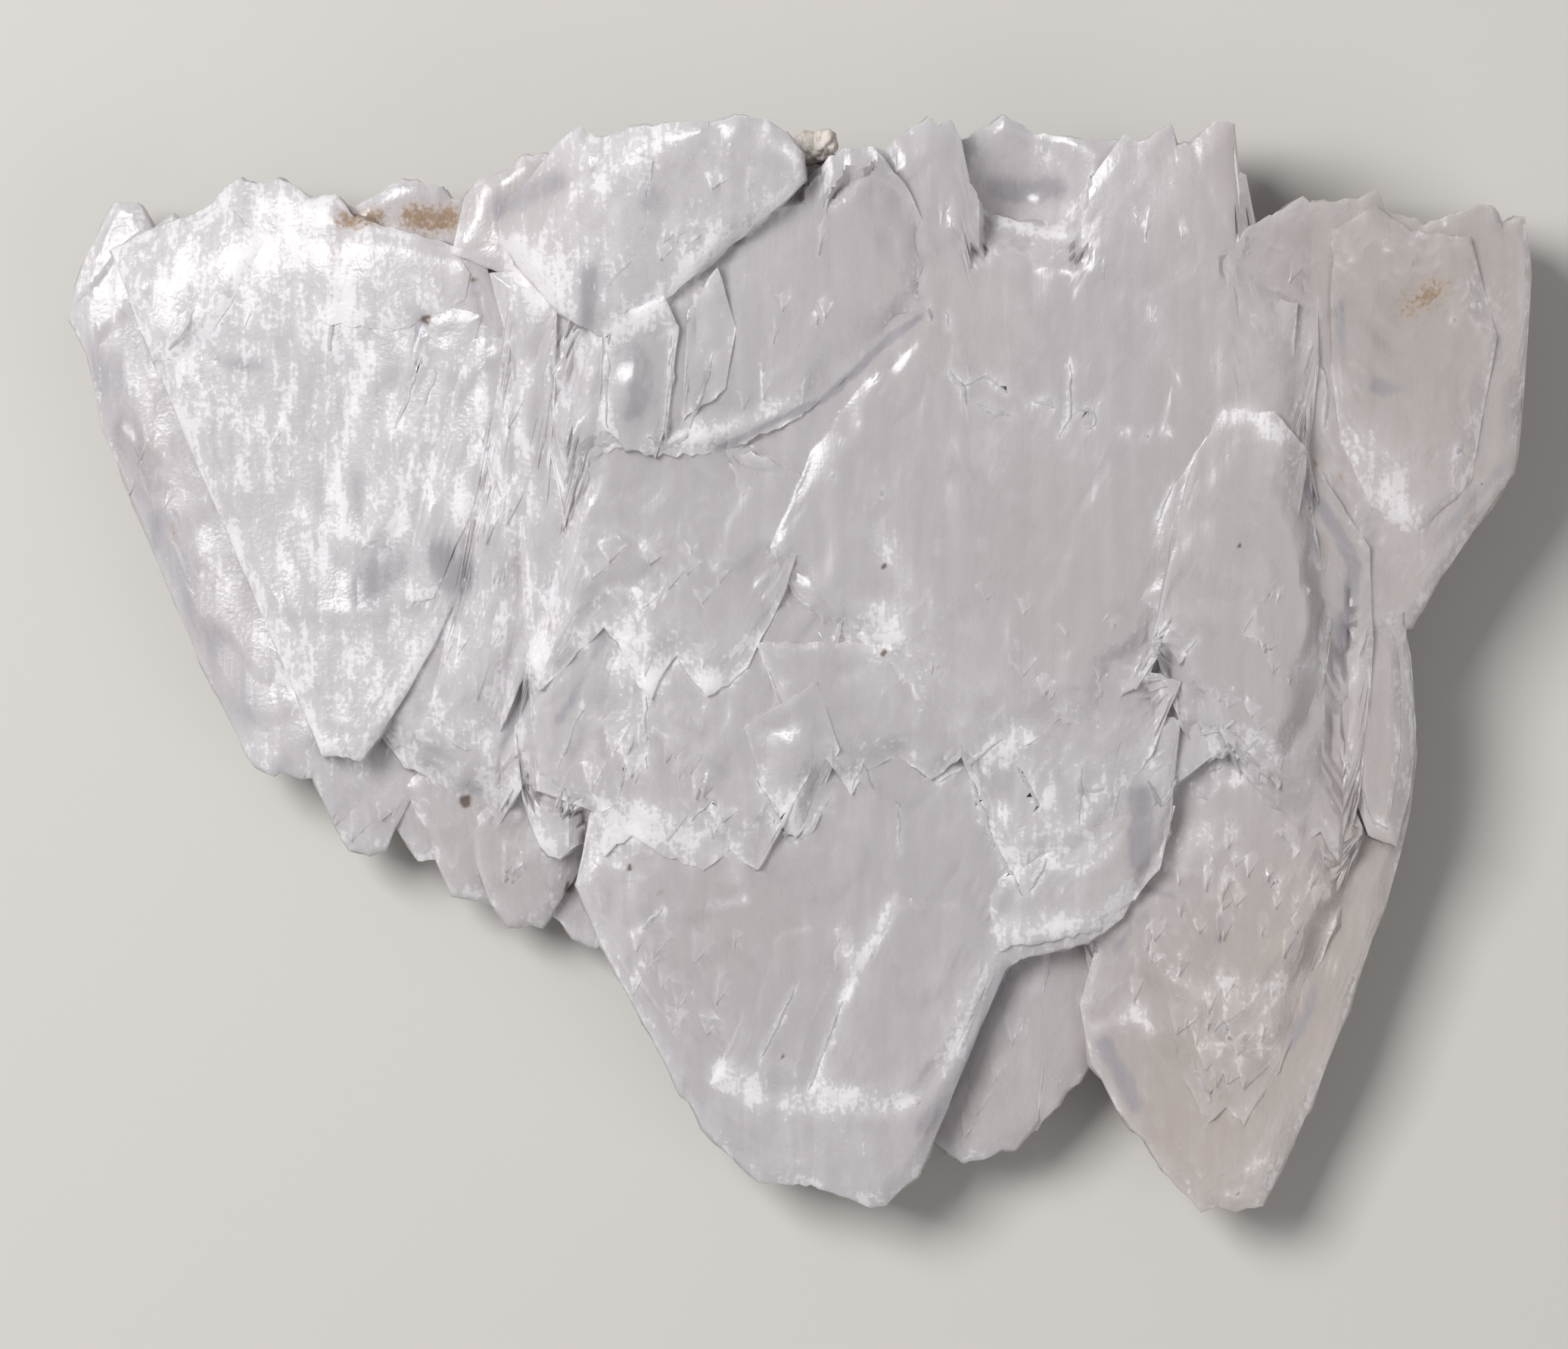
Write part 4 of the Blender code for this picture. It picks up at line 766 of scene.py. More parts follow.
def chevrons(x, y, seed):
    """Shingled growth: faces that dip towards the tips and end in steps with V-shaped outlines.

    climb = (y + reach * |triangle wave of x|) / spacing, and the height is
    step * (floor(climb) + a quick smooth rise - climb), faded out in patches.
    """
    pitch, reach, spacing = 6.0 + seed % 5, 3.0 + seed % 3, 4.2 + seed % 4
    wave = 2 * np.abs((x / pitch + 0.5 * noise(x / 9.0, y / 12.0, seed + 20)) % 1.0 - 0.5)
    climb = (y + reach * wave + 1.6 * noise(x / 3.0, y / 5.0, seed + 21)
             + 0.35 * noise(x / 0.9, y / 2.0, seed + 22)) / spacing
    whole = np.floor(climb)
    patch = smooth(-0.35, 0.35, noise(x / 6.0, y / 6.0, seed + 23))
    return 0.24 * patch * (smooth(0.0, 0.10, climb - whole) - (climb - whole))


def relief(x, y, seed):
    """What a top face carries: swells, ribs along the fibres, growth terraces and chevrons.

    Swells and ribs are noises drawn out along Y, and a terrace is step * (floor(climb) + a quick
    smooth rise) of another noise, climb.
    """
    swell = 0.16 * noise(x / 7.0, y / 11.0, seed)
    rib = 0.06 * noise(x / 1.1, y / 9.0, seed + 1) + 0.03 * noise(x / 0.5, y / 6.0, seed + 2)
    climb = 2.2 * noise(x / 5.0, y / 8.0, seed + 4) + 0.6 * noise(x / 1.2, y / 3.0, seed + 5)
    whole = np.floor(climb)
    terrace = 0.10 * (whole + smooth(0.0, 0.25, climb - whole))
    return swell + rib + terrace + chevrons(x, y, seed)


def smooth_face(name):
    """The height of a blade's top face without its relief, as a function of x and y.

    It is a plane from its tip level to its root level, plus its sideways rise, less each dip's
    depth * exp(-(r / radius)^2) and each roll's bend * (way past its line)^2.
    """
    blade = BLADES[name]
    rim = np.array(blade["rim"])
    tip_y, root_y, middle_x = rim[:, 1].min(), rim[:, 1].max(), rim[:, 0].mean()
    tip_level, root_level = blade["top"]

    def height(x, y):
        share = (y - tip_y) / (root_y - tip_y)
        z = tip_level + (root_level - tip_level) * share + blade["rise"] * (x - middle_x)
        for (cx, cy), radius, depth in blade.get("dips", ()):
            z = z - depth * np.exp(-((x - cx) ** 2 + (y - cy) ** 2) / radius ** 2)
        for (nx, ny), start, bend in blade.get("rolls", ()):
            z = z - bend * np.maximum(nx * x + ny * y - start, 0.0) ** 2
        return z

    return height


def top_surface(name):
    """The height of a top face: a blade's smooth face plus its relief, or a layer's own.

    A layer's is its host's worn surface plus a lift that runs from its tip to its root and, with
    a lean, falls towards +X until it sinks into the host.
    """
    layer = LAYERS.get(name)
    rim = np.array(rim_of(name))
    tip_y, root_y = rim[:, 1].min(), rim[:, 1].max()
    seed = SEEDS[name]
    if layer:
        host = worn_surface(layer["over"])
        tip_lift, root_lift = layer["lift"]
        lean, middle_x = layer.get("lean", 0.0), rim[:, 0].mean()

        def layer_height(x, y):
            share = (y - tip_y) / (root_y - tip_y)
            ribs = 0.05 * noise(x / 0.9, y / 7.0, seed)
            lift = tip_lift + (root_lift - tip_lift) * share - lean * (x - middle_x)
            return host(x, y) + lift + ribs

        return layer_height

    face = smooth_face(name)
    return lambda x, y: face(x, y) + relief(x, y, seed)


def under_surface(name):
    """The height of a blade's underside: a plane, or a set depth below a layer's host."""
    if name in LAYERS:
        host = worn_surface(LAYERS[name]["over"])
        return lambda x, y: host(x, y) - LAYER_DEPTH
    rim = np.array(rim_of(name))
    tip_y, root_y = rim[:, 1].min(), rim[:, 1].max()
    tip_level, root_level = BLADES[name]["under"]
    return lambda x, y: tip_level + (root_level - tip_level) * (y - tip_y) / (root_y - tip_y)


def highest(x, y, names, surface_of):
    """The height of whichever of the named blades and layers is on top at each place."""
    z = np.zeros(np.shape(x))
    for name in names:
        low, high = np.min(rim_of(name), axis=0), np.max(rim_of(name), axis=0)
        within = (x > low[0]) & (x < high[0]) & (y > low[1]) & (y < high[1])
        within[within] = inside(rim_of(name), x[within], y[within])
        if within.any():
            z[within] = np.maximum(z[within], surface_of(name)(x[within], y[within]))
    return z


def worn_edge(name, x, y, distance):
    """How far a top face is worn down at a distance d from its rim.

    It is rise * (1 - d / width)^1.5 with an uneven width. Where an inner blade ends on other
    blades, it is the step down to them, less a thin lip, times 3t^2 - 2t^3 of t = 1 - d / width.
    """
    shape = BLADES.get(name) or LAYERS[name]
    seed = SEEDS[name]
    rise, width = shape.get("bevel", BEVEL)
    if name in LAYERS or name in INNER:
        rise, width = INNER_BEVEL[0] * rise, INNER_BEVEL[1] * width
    uneven = 1.0 + 0.7 * noise(x / 3.0, y / 3.0, seed + 14)
    drop = rise * uneven * np.clip(1 - distance / (width * uneven), 0.0, 1.0) ** 1.5
    if name in INNER:
        near = distance < FEATHER_WIDTH * uneven
        nx, ny = x[near], y[near]
        others = [other for other in BLADES if other != name]
        support = sum(highest(nx + dx, ny + dy, others, smooth_face)
                      for dx, dy in SUPPORT_PLACES) / len(SUPPORT_PLACES)
        step = smooth_face(name)(nx, ny) - support - FEATHER_LIP
        step = step * (1.0 + 0.3 * noise(nx / 1.4, ny / 1.4, seed + 15))
        share = smooth(0.0, 1.0, 1 - distance[near] / (FEATHER_WIDTH * uneven[near]))
        root_y = np.max(rim_of(name), axis=0)[1]
        fine = smooth(FEATHER_MOST, 0.75 * FEATHER_MOST, step)
        fine = fine * smooth(root_y, root_y - FEATHER_ROOT, ny)
        drop[near] += fine * (np.clip(step, 0.0, FEATHER_MOST) * share - drop[near])
    return drop


def worn_surface(name):
    """The height of a top face less the wear along its rim."""
    top = top_surface(name)
    rim = rim_of(name)
    closed = [*rim, rim[0]]

    def height(x, y):
        return top(x, y) - worn_edge(name, x, y, distance_to_line(x, y, closed))

    return height


# Meshes of the blades

def anticlockwise(outline):
    """The outline's points in the order that runs anticlockwise, seen from above."""
    points = np.array(outline, dtype=float)
    ahead = np.roll(points, -1, axis=0)
    twice_area = (points[:, 0] * ahead[:, 1] - ahead[:, 0] * points[:, 1]).sum()
    return points if twice_area > 0 else points[::-1]


def edges_of(rim):
    """The rim split at its leftmost and rightmost points into the tip edge and the root edge.

    Both run from left to right with x never falling, so each is y as a function of x.
    """
    points = anticlockwise(rim)
    left = int(points[:, 0].argmin())
    points = np.roll(points, -left, axis=0)
    right = int(points[:, 0].argmax())
    tip = points[:right + 1].copy()
    root = np.vstack([points[right:], points[:1]])[::-1].copy()
    for edge in (tip, root):
        edge[:, 0] = np.maximum.accumulate(edge[:, 0])
    return tip, root


def columns_of(tip, root, step):
    """x of the grid's columns: even steps, every corner of the rim, and closer ones at the ends."""
    x0, x1 = tip[0, 0], tip[-1, 0]
    even = np.linspace(x0, x1, max(4, math.ceil((x1 - x0) / step)) + 1)
    ends = [x0 + 0.08, x0 + 0.2, x1 - 0.2, x1 - 0.08]
    x = np.unique(np.concatenate([even, tip[:, 0], root[:, 0], ends]))
    x = x[np.concatenate([[True], np.diff(x) > 0.06])]
    x[-1] = x1
    return x


def teeth(x, seed):
    """Fine V-shaped teeth, as cleavage fibres break: two triangle waves of uneven pitch."""
    coarse = 2 * np.abs((x / 1.3 + 0.8 * noise(x / 2.0, seed, seed)) % 1.0 - 0.5)
    fine = 2 * np.abs((x / 0.55 + 0.9 * noise(x / 1.1, seed, seed + 3)) % 1.0 - 0.5)
    return 0.6 * coarse + 0.4 * fine - 0.5


def frayed_columns(name, step, fray):
    """The grid's columns x, and the y of each at the tip edge and at the root edge.

    A rim is frayed by its teeth where the blade is tall enough, and both ends are one point.
    """
    seed = SEEDS[name]
    tip, root = edges_of(rim_of(name))
    x = columns_of(tip, root, step)
    y0 = np.interp(x, tip[:, 0], tip[:, 1])
    y1 = np.interp(x, root[:, 0], root[:, 1])
    room = smooth(0.0, 2.5, y1 - y0)
    tip_fray = INNER_FRAY if name in LAYERS or name in INNER else 1.0
    y0 = y0 - tip_fray * fray * teeth(x, seed) * room
    y1 = y1 + ROOT_FRAY * fray * teeth(x + 31.0, seed + 7) * room
    for end in (0, -1):
        y0[end] = y1[end] = 0.5 * (y0[end] + y1[end])
    return x, y0, y1


def worn_underside(name, x, y, distance):
    """The height of an underside: its plane, a bevel round it, and noise where it is off the floor.

    The bevel rises by its width less the distance from the rim, and the underside stays clear of
    the top face by the least thickness. A layer's is plain.
    """
    z = under_surface(name)(x, y)
    if name in LAYERS:
        return z
    seed = SEEDS[name]
    off_floor = smooth(0.05, 0.5, z)
    rough = 0.25 * noise(x / 4.0, y / 7.0, seed + 9) + 0.08 * noise(x / 1.2, y / 5.0, seed + 10)
    z = z + UNDER_BEVEL * np.clip(1 - distance / UNDER_BEVEL, 0.0, 1.0) + rough * off_floor
    return np.minimum(z, top_surface(name)(x, y) - LEAST_THICKNESS)


def broken_side(name, low, high, sizes, coarser):
    """Rows of points up a side, from the rim of the underside to the rim of the top face.

    Each point stands out along the rim's outward normal by an amount that each cleavage sheet
    has of its own, noise(way round / 2.2, sheet's number), and by a finer noise. A layer's side
    is plain.
    """
    seed = SEEDS[name]
    along = np.roll(high[:, :2], -1, axis=0) - np.roll(high[:, :2], 1, axis=0)
    outward = np.stack([along[:, 1], -along[:, 0]], axis=1)
    outward /= np.linalg.norm(outward, axis=1, keepdims=True) + 1e-9
    run = np.concatenate([[0.0], np.cumsum(np.linalg.norm(np.diff(high[:, :2], axis=0), axis=1))])
    rows = max(2, math.ceil((high[:, 2] - low[:, 2]).max() / (sizes["wall_step"] * coarser)))
    share = (np.arange(1, rows) / rows)[None, :, None]
    side = low[:, None, :] * (1 - share) + high[:, None, :] * share
    if name in BLADES:
        sheet_number = np.floor(side[:, :, 2] / sizes["sheet"])
        out = sizes["sheet_relief"] * noise(run[:, None] / 2.2, sheet_number * 7.3, seed + 11)
        out = out + 0.08 * noise(run[:, None] / 0.6, side[:, :, 2] / 0.5, seed + 12)
        side[:, :, :2] += outward[:, None, :] * out[:, :, None]
    return side


def blade_mesh(name, sizes):
    """One blade or layer as a closed mesh.

    Its plan is a grid: u picks a column x, and v runs from the tip edge y0(x) to the root edge
    y1(x), y = y0 + (y1 - y0) * v, with v = t - 0.35 * sin(2 pi t) / (2 pi), which brings the rows
    closer at the rim. The top sheet is the top surface less its worn edge, the underside is a
    second, coarser grid, and rows of a broken side join the two all round.
    """
    coarser = COARSE.get(name, 1.0)
    step = sizes["grid_step"] * coarser
    x, y0, y1 = frayed_columns(name, step, sizes["fray"])
    rim_line = np.concatenate([np.column_stack([x, y0]), np.column_stack([x, y1])[::-1][1:]])

    def sheet(rows):
        t = np.linspace(0.0, 1.0, rows + 1)
        v = t - 0.35 * np.sin(2 * np.pi * t) / (2 * np.pi)
        gx = np.repeat(x[:, None], rows + 1, axis=1)
        gy = y0[:, None] + (y1 - y0)[:, None] * v[None, :]
        return gx, gy, distance_to_line(gx, gy, rim_line)

    tall = (y1 - y0).max()
    top_rows = max(4, math.ceil(tall / step))
    under_rows = max(3, math.ceil(tall / (5 * step)))
    top_x, top_y, top_depth = sheet(top_rows)
    top_z = top_surface(name)(top_x, top_y) - worn_edge(name, top_x, top_y, top_depth)
    under_x, under_y, under_depth = sheet(under_rows)
    under_z = worn_underside(name, under_x, under_y, under_depth)
    top = np.stack([top_x, top_y, top_z], axis=2)
    under = np.stack([under_x, under_y, under_z], axis=2)

    # The way round the rim: to the right along the tip edge, and back along the root edge.
    n = len(x)
    columns = np.concatenate([np.arange(n), np.arange(n - 2, 0, -1)])
    top_row = np.where(np.arange(len(columns)) < n, 0, top_rows)
    under_row = np.where(np.arange(len(columns)) < n, 0, under_rows)
    side = broken_side(name, under[columns, under_row], top[columns, top_row], sizes, coarser)

    # Vertices: the top sheet's grid, the underside's grid, then the rows of the side. A column
    # at either end is one point, which the faces reach by the same number.
    def grid_numbers(rows, start):
        numbers = start + np.arange(n * (rows + 1)).reshape(n, rows + 1)
        numbers[0, :] = numbers[0, 0]
        numbers[-1, :] = numbers[-1, 0]
        return numbers

    top_id = grid_numbers(top_rows, 0)
    under_id = grid_numbers(under_rows, top_x.size)
    side_id = top_x.size + under_x.size + np.arange(side.shape[0] * side.shape[1])
    around = np.column_stack([
        under_id[columns, under_row], side_id.reshape(side.shape[:2]), top_id[columns, top_row],
    ])
    faces = [quads(top_id), quads(under_id)[:, ::-1], quads(np.vstack([around, around[:1]]))]
    kind = np.repeat([TOP, UNDER, SIDE], [len(part) for part in faces])
    faces = np.concatenate(faces)
    vertices = np.concatenate([part.reshape(-1, 3) for part in (top, under, side)])

    # Marks of the faces: 1 at the rim of a top face, and 1 at its tip edge, each fading away.
    # The rim mark is whitened later as a painted glow along the thin edge, with the frost of its
    # broken fibres.
    elsewhere = np.zeros(len(side_id))
    depth = np.concatenate([top_depth.ravel(), under_depth.ravel(), elsewhere])
    tip_way = np.full(len(vertices), FAR)
    tip_way[:top_x.size] = (top_y - y0[:, None]).ravel()
    return closed_mesh(name, placed(vertices), faces, {
        "side": kind == SIDE, "under": kind == UNDER,
        "rim": np.exp(-depth[faces].mean(axis=1) / RIM_FADE) * (kind == TOP),
        "tip": np.exp(-tip_way[faces].mean(axis=1) / TIP_FADE) * (kind == TOP),
    })


def quads(grid):
    """Quads between neighbours on a grid of vertex numbers."""
    return np.stack([
        grid[:-1, :-1], grid[1:, :-1], grid[1:, 1:], grid[:-1, 1:],
    ], axis=-1).reshape(-1, 4)


def closed_tube(rings):
    """Quads round a row of rings and across its two ends, for rings of four points.

    rings has the shape (stations, 4, 3), and each ring runs anticlockwise seen from its start.
    """
    count = len(rings)
    number = np.arange(count * 4).reshape(count, 4)
    around = np.column_stack([number, number[:, :1]])
    ends = np.array([number[0][::-1], number[-1]])
    return rings.reshape(-1, 3), np.concatenate([quads(around.T), ends])


def placed(points):
    """Points of the drawing in metres of the frame."""
    out = np.empty_like(points)
    out[:, :2] = (points[:, :2] - DRAWN_CENTRE) * UNIT
    out[:, 2] = points[:, 2] * UNIT_UP
    return out


FACE_MARKS = ("side", "under", "rim", "tip", "ridge")


def closed_mesh(name, points, faces, marks=None):
    """A mesh from points in metres and numbered quads, with any marks as values of its faces.

    A quad with a point used twice becomes a triangle, and points that no face uses are left out.
    """
    same = faces == np.roll(faces, -1, axis=1)
    is_full = ~same.any(axis=1)
    is_thin = same.sum(axis=1) == 1
    full = faces[is_full]
    thin = faces[is_thin][~same[is_thin]].reshape(-1, 3)
    used, number = np.unique(np.concatenate([full.ravel(), thin.ravel()]), return_inverse=True)
    mesh = bpy.data.meshes.new(name)
    mesh.vertices.add(len(used))
    mesh.vertices.foreach_set("co", points[used].astype(np.float32).ravel())
    mesh.loops.add(len(number))
    mesh.loops.foreach_set("vertex_index", number.ravel().astype(np.int32))
    mesh.polygons.add(len(full) + len(thin))
    starts = np.concatenate([np.arange(len(full)) * 4, full.size + np.arange(len(thin)) * 3])
    mesh.polygons.foreach_set("loop_start", starts.astype(np.int32))
    mesh.update(calc_edges=True)
    for label in FACE_MARKS if marks else ():
        values = np.broadcast_to(np.asarray(marks.get(label, 0.0), dtype=np.float32), len(faces))
        layer = mesh.attributes.new(label, "FLOAT", "FACE")
        layer.data.foreach_set("value", np.concatenate([values[is_full], values[is_thin]]))
    return mesh


def scale_meshes():
    """Thin V-tipped scales that lie on the blades.

    Each is a grid: u runs from root to tip, v across. Its half width grows from a third to full
    by u = 0.6 and closes to the tip in a V; its height over its host is lift * u^1.3, a little
    less off its middle line, so it grows out of the face; its underside lies inside the host.
    """
    draw = np.random.default_rng(SCALE_SEED)
    u = np.array([0.0, 0.2, 0.4, 0.6, 0.8, 1.0])[:, None]
    v = np.array([-1.0, 0.0, 1.0])[None, :]
    meshes = []
    for host, count, x_range, y_range, widths, lengths, lean, lift in SCALE_FIELDS:
        surface = worn_surface(host)
        others = [name for name in (*BLADES, *LAYERS) if name != host]
        tries = SCALE_TRIES * count
        cx, cy = draw.uniform(*x_range, tries), draw.uniform(*y_range, tries)
        reach = np.array([(0, 0), (0, 1), (0, -1), (1, 0), (-1, 0)]) * (1.2, 0.6 * lengths[1])
        at = cx[:, None] + reach[:, 0], cy[:, None] + reach[:, 1]
        clear = inside(rim_of(host), *at).all(axis=1)
        clear &= (surface(*at) > highest(*at, others, top_surface) - 0.1).all(axis=1)
        cx, cy = (centres[clear][:count, None, None] for centres in (cx, cy))
        each = cx.shape
        half, length = draw.uniform(*widths, each), draw.uniform(*lengths, each)
        angle = np.radians(lean + draw.uniform(-7.0, 7.0, each))
        height = lift * draw.uniform(0.6, 1.3, each)
        bend = draw.uniform(-0.25, 0.25, each)
        across = half * np.minimum(0.35 + 1.1 * u, (1.01 - u) / 0.38) * (v + bend * (1 - v ** 2))
        along = length * (u - 0.5) + 0 * v
        sx = cx - along * np.sin(angle) + across * np.cos(angle)
        sy = cy - along * np.cos(angle) - across * np.sin(angle)
        over = (height + 0.08) * u ** 1.3 * (1 - 0.35 * np.abs(v)) - 0.08
        z = surface(sx, sy)
        high = np.stack([sx, sy, z + over], axis=3)
        low = np.stack([sx, sy, z - SCALE_ROOT], axis=3)
        whiteness = draw.uniform(0.0, 0.35, len(cx))
        meshes += [lens_mesh("scale", *grids) for grids in zip(high, low, whiteness)]
    return meshes


def lens_mesh(name, high, low, whiteness):
    """A closed mesh between two grids of the same plan, with a strip round its edge."""
    rows, columns = high.shape[:2]
    top_id = np.arange(rows * columns).reshape(rows, columns)
    low_id = top_id + rows * columns

    def edge(grid):
        return np.concatenate([grid[:, 0], grid[-1, 1:], grid[-2::-1, -1], grid[0, -2:0:-1]])

    band = np.stack([edge(top_id), edge(low_id)], axis=1)
    band = np.vstack([band, band[:1]])
    faces = np.concatenate([quads(top_id), quads(low_id)[:, ::-1], quads(band)[:, ::-1]])
    vertices = np.concatenate([high.reshape(-1, 3), low.reshape(-1, 3)])
    normal = np.cross(high[1, 1] - high[0, 1], high[1, 2] - high[1, 1])
    if normal[2] < 0:
        faces = faces[:, ::-1]
    return closed_mesh(name, placed(vertices), faces, {"ridge": whiteness})


def ridge_meshes():
    """Fine bright ridges along thin veils and along the smaller painted glints.

    Each follows its stroke, shaken sideways a little, with a ring of four points at each station:
    a crest above the surface, two feet beside it and a keel inside the crystal.
    """
    meshes = []
    for points, half_width, strength in VEILS_AND_HIGHLIGHTS:
        if half_width > FINE_VEIL:
            continue
        line = np.array(points, dtype=float)
        run = np.concatenate([[0.0], np.cumsum(np.linalg.norm(np.diff(line, axis=0), axis=1))])
        stations = np.linspace(0.0, run[-1], max(3, math.ceil(run[-1] / RIDGE_STEP) + 1))
        x = np.interp(stations, run, line[:, 0])
        y = np.interp(stations, run, line[:, 1])
        sideways = 0.12 * noise(stations / 0.7, half_width * 50.0 + x[0], 5)
        way = np.gradient(np.stack([x, y]), axis=1)
        way /= np.linalg.norm(way, axis=0) + 1e-9
        x, y = x - way[1] * sideways, y + way[0] * sideways
        level = highest(x, y, (*BLADES, *LAYERS), worn_surface)
        fade = np.sin(np.pi * np.linspace(0.06, 0.94, len(x))) ** 0.5
        half = half_width * 0.8 * fade
        crest = 0.07 * strength * fade

        def row(offset, rise):
            return np.stack([x - way[1] * offset, y + way[0] * offset, level + rise], axis=1)

        rings = np.stack([row(half, -0.03), row(0.0 * half, -0.5), row(-half, -0.03),
                          row(0.0 * half, crest)], axis=1)
        vertices, faces = closed_tube(rings)
        meshes.append(closed_mesh("ridge", placed(vertices), faces, {"ridge": strength}))
    return meshes


def grown_together(meshes, name):
    """All the blades' meshes joined by one union in one closed body."""
    guides = bpy.data.collections.new("blade_guides")
    bpy.context.scene.collection.children.link(guides)
    for mesh in meshes[1:]:
        guides.objects.link(bpy.data.objects.new(mesh.name, mesh))
    whole = bpy.data.objects.new(name, meshes[0])
    bpy.context.scene.collection.objects.link(whole)
    union = whole.modifiers.new("union", "BOOLEAN")
    union.operation = "UNION"
    union.operand_type = "COLLECTION"
    union.collection = guides
    union.solver = "MANIFOLD"
    bpy.context.view_layer.update()
    joined = bpy.data.meshes.new_from_object(
        whole.evaluated_get(bpy.context.evaluated_depsgraph_get()))
    joined.name = name
    whole.modifiers.clear()
    whole.data = joined
    for guide in list(guides.objects):
        bpy.data.objects.remove(guide, do_unlink=True)
    bpy.data.collections.remove(guides)
    for mesh in meshes:
        bpy.data.meshes.remove(mesh)
    return whole


# Marks in the crystal, and the painted light laid in with them

CRYSTAL_MARKS = ("frost", "window", "stain", "grain", "warm", "broken")


def read(items, field, width, kind=np.float32):
    """One field of a mesh's points, corners or faces as an array, with width values in a row."""
    values = np.empty(len(items) * width, dtype=kind)
    items.foreach_get(field, values)
    return values.reshape(len(items), width) if width > 1 else values


def together(*marks):
    """How strongly several marks show as one: 1 - product of (1 - mark)."""
    return 1.0 - np.prod([1.0 - mark for mark in marks], axis=0)


def clouded(x, y, places):
    """Round places as one mark, each strength * exp(-(r / radius)^2)."""
    return together(*(
        strength * np.exp(-((x - cx) ** 2 + (y - cy) ** 2) / radius ** 2)
        for (cx, cy), radius, strength in places
    ))


def flecks(x, y):
    """Ragged white V-shaped edges of tiny shingles, as a brightness from 0 to 1.

    climb = (y + reach * |triangle wave of x| + noise) / spacing, and each shingle is bright at its
    tip and fades out behind it as exp(-(climb - floor(climb)) / 0.3); patches of noise thin them.
    """
    total = np.zeros(np.shape(x))
    for pitch, reach, spacing, seed in FLECK_SIZES:
        wave = 2 * np.abs((x / pitch + 1.3 * noise(x / 3.1, y / 4.3, seed)) % 1.0 - 0.5)
        climb = (y + reach * wave + 1.7 * noise(x / 2.3, y / 3.7, seed + 1)
                 + 0.5 * noise(x / 0.8, y / 1.3, seed + 2)) / spacing
        patch = smooth(-0.1, 0.6, noise(x / 2.6, y / 3.4, seed + 3))
        total = np.maximum(total, patch * np.exp(-(climb - np.floor(climb)) / 0.3))
    return total


def average_on_points(mesh, label):
    """A face attribute as the mean over the faces that meet at each point."""
    corner_point = read(mesh.loops, "vertex_index", 1, np.int32)
    size = read(mesh.polygons, "loop_total", 1, np.int32)
    values = np.repeat(read(mesh.attributes[label].data, "value", 1), size)
    total = np.bincount(corner_point, weights=values, minlength=len(mesh.vertices))
    count = np.bincount(corner_point, minlength=len(mesh.vertices))
    return total / np.maximum(count, 1)


def mark_crystal(mesh):
    """Point attributes of the body: frost and painted highlights, windows, stains, dark grains,
    warmth, broken sides.

    Frost is the clouds, with the painted glow in the left wing, patches of noise and broken
    sides together, thinned in the dull places, and then the veils with the painted highlights
    and glints, the painted glow along the rims, ridges, speckled tips, painted highlights on
    steep steps and flecks together with it, thinned in the windows. Warmth grows towards the
    right, the lower right and in dull places.
    """
    points = read(mesh.vertices, "co", 3).astype(float)
    x = points[:, 0] / UNIT + DRAWN_CENTRE[0]
    y = points[:, 1] / UNIT + DRAWN_CENTRE[1]
    side, under, rim, tip, ridge = (average_on_points(mesh, label) for label in FACE_MARKS)
    on_top = 1.0 - under
    upright = read(mesh.vertex_normals, "vector", 3)[:, 2]
    # Steep faces of steps are whitened as a painted highlight, where light would catch the scarps.
    step_highlight = smooth(0.03, 0.22, 1.0 - upright) * (1.0 - side) * on_top
    windows = marked(x, y, WINDOWS, 0.35)
    grains = marked(x, y, [((place, place), size, 1.0) for place, size in SPECKS], 0.3)
    stain = marked(x, y, STAINS, 0.3)
    dull = clouded(x, y, DIM_PLACES)
    patchy = 0.5 + 0.5 * noise(x / 6.0, y / 8.0, 71)
    speckled = 0.5 + 0.5 * noise(x / 1.7, y / 2.6, 72)

    # Frost takes in painted light too: the glow of the left wing among the clouds, highlights and
    # glints among the veils, a glow along the rims and highlights on steep steps.
    frost = together(0.6 * clouded(x, y, CLOUDS_AND_GLOW), 0.45 * patchy ** 2, 0.4 * side)
    frost = together(
        frost * (1.0 - 0.7 * dull), 0.75 * marked(x, y, VEILS_AND_HIGHLIGHTS, 0.34), 0.35 * rim, ridge,
        0.5 * tip * speckled, 0.4 * step_highlight,
        (0.12 + 0.75 * clouded(x, y, RAGGED_PLACES)) * flecks(x, y),
    )
    frost = frost * (1.0 - 0.75 * windows) * on_top + 0.30 * under
    warm = 0.65 * smooth(24.0, 46.0, x + 0.25 * np.abs(y)) \
        + 0.7 * smooth(-4.0, -30.0, y) * smooth(12.0, 28.0, x) + 0.3 * dull
    amounts = (frost, windows * on_top, stain * on_top, grains * on_top, warm, side)
    for label, values in zip(CRYSTAL_MARKS, amounts):
        layer = mesh.attributes.new(label, "FLOAT", "POINT")
        layer.data.foreach_set("value", np.clip(values, 0.0, 1.0).astype(np.float32))
    for label in FACE_MARKS:
        mesh.attributes.remove(mesh.attributes[label])


# Materials

ADD, SUBTRACT, MULTIPLY, MULTIPLY_ADD = (
    {"operation": name} for name in ("ADD", "SUBTRACT", "MULTIPLY", "MULTIPLY_ADD"))
CLAMPED_SUM = {"operation": "MULTIPLY_ADD", "use_clamp": True}
SOFT_RANGE = {"interpolation_type": "SMOOTHSTEP"}
OF_COLOURS = {"data_type": "RGBA"}

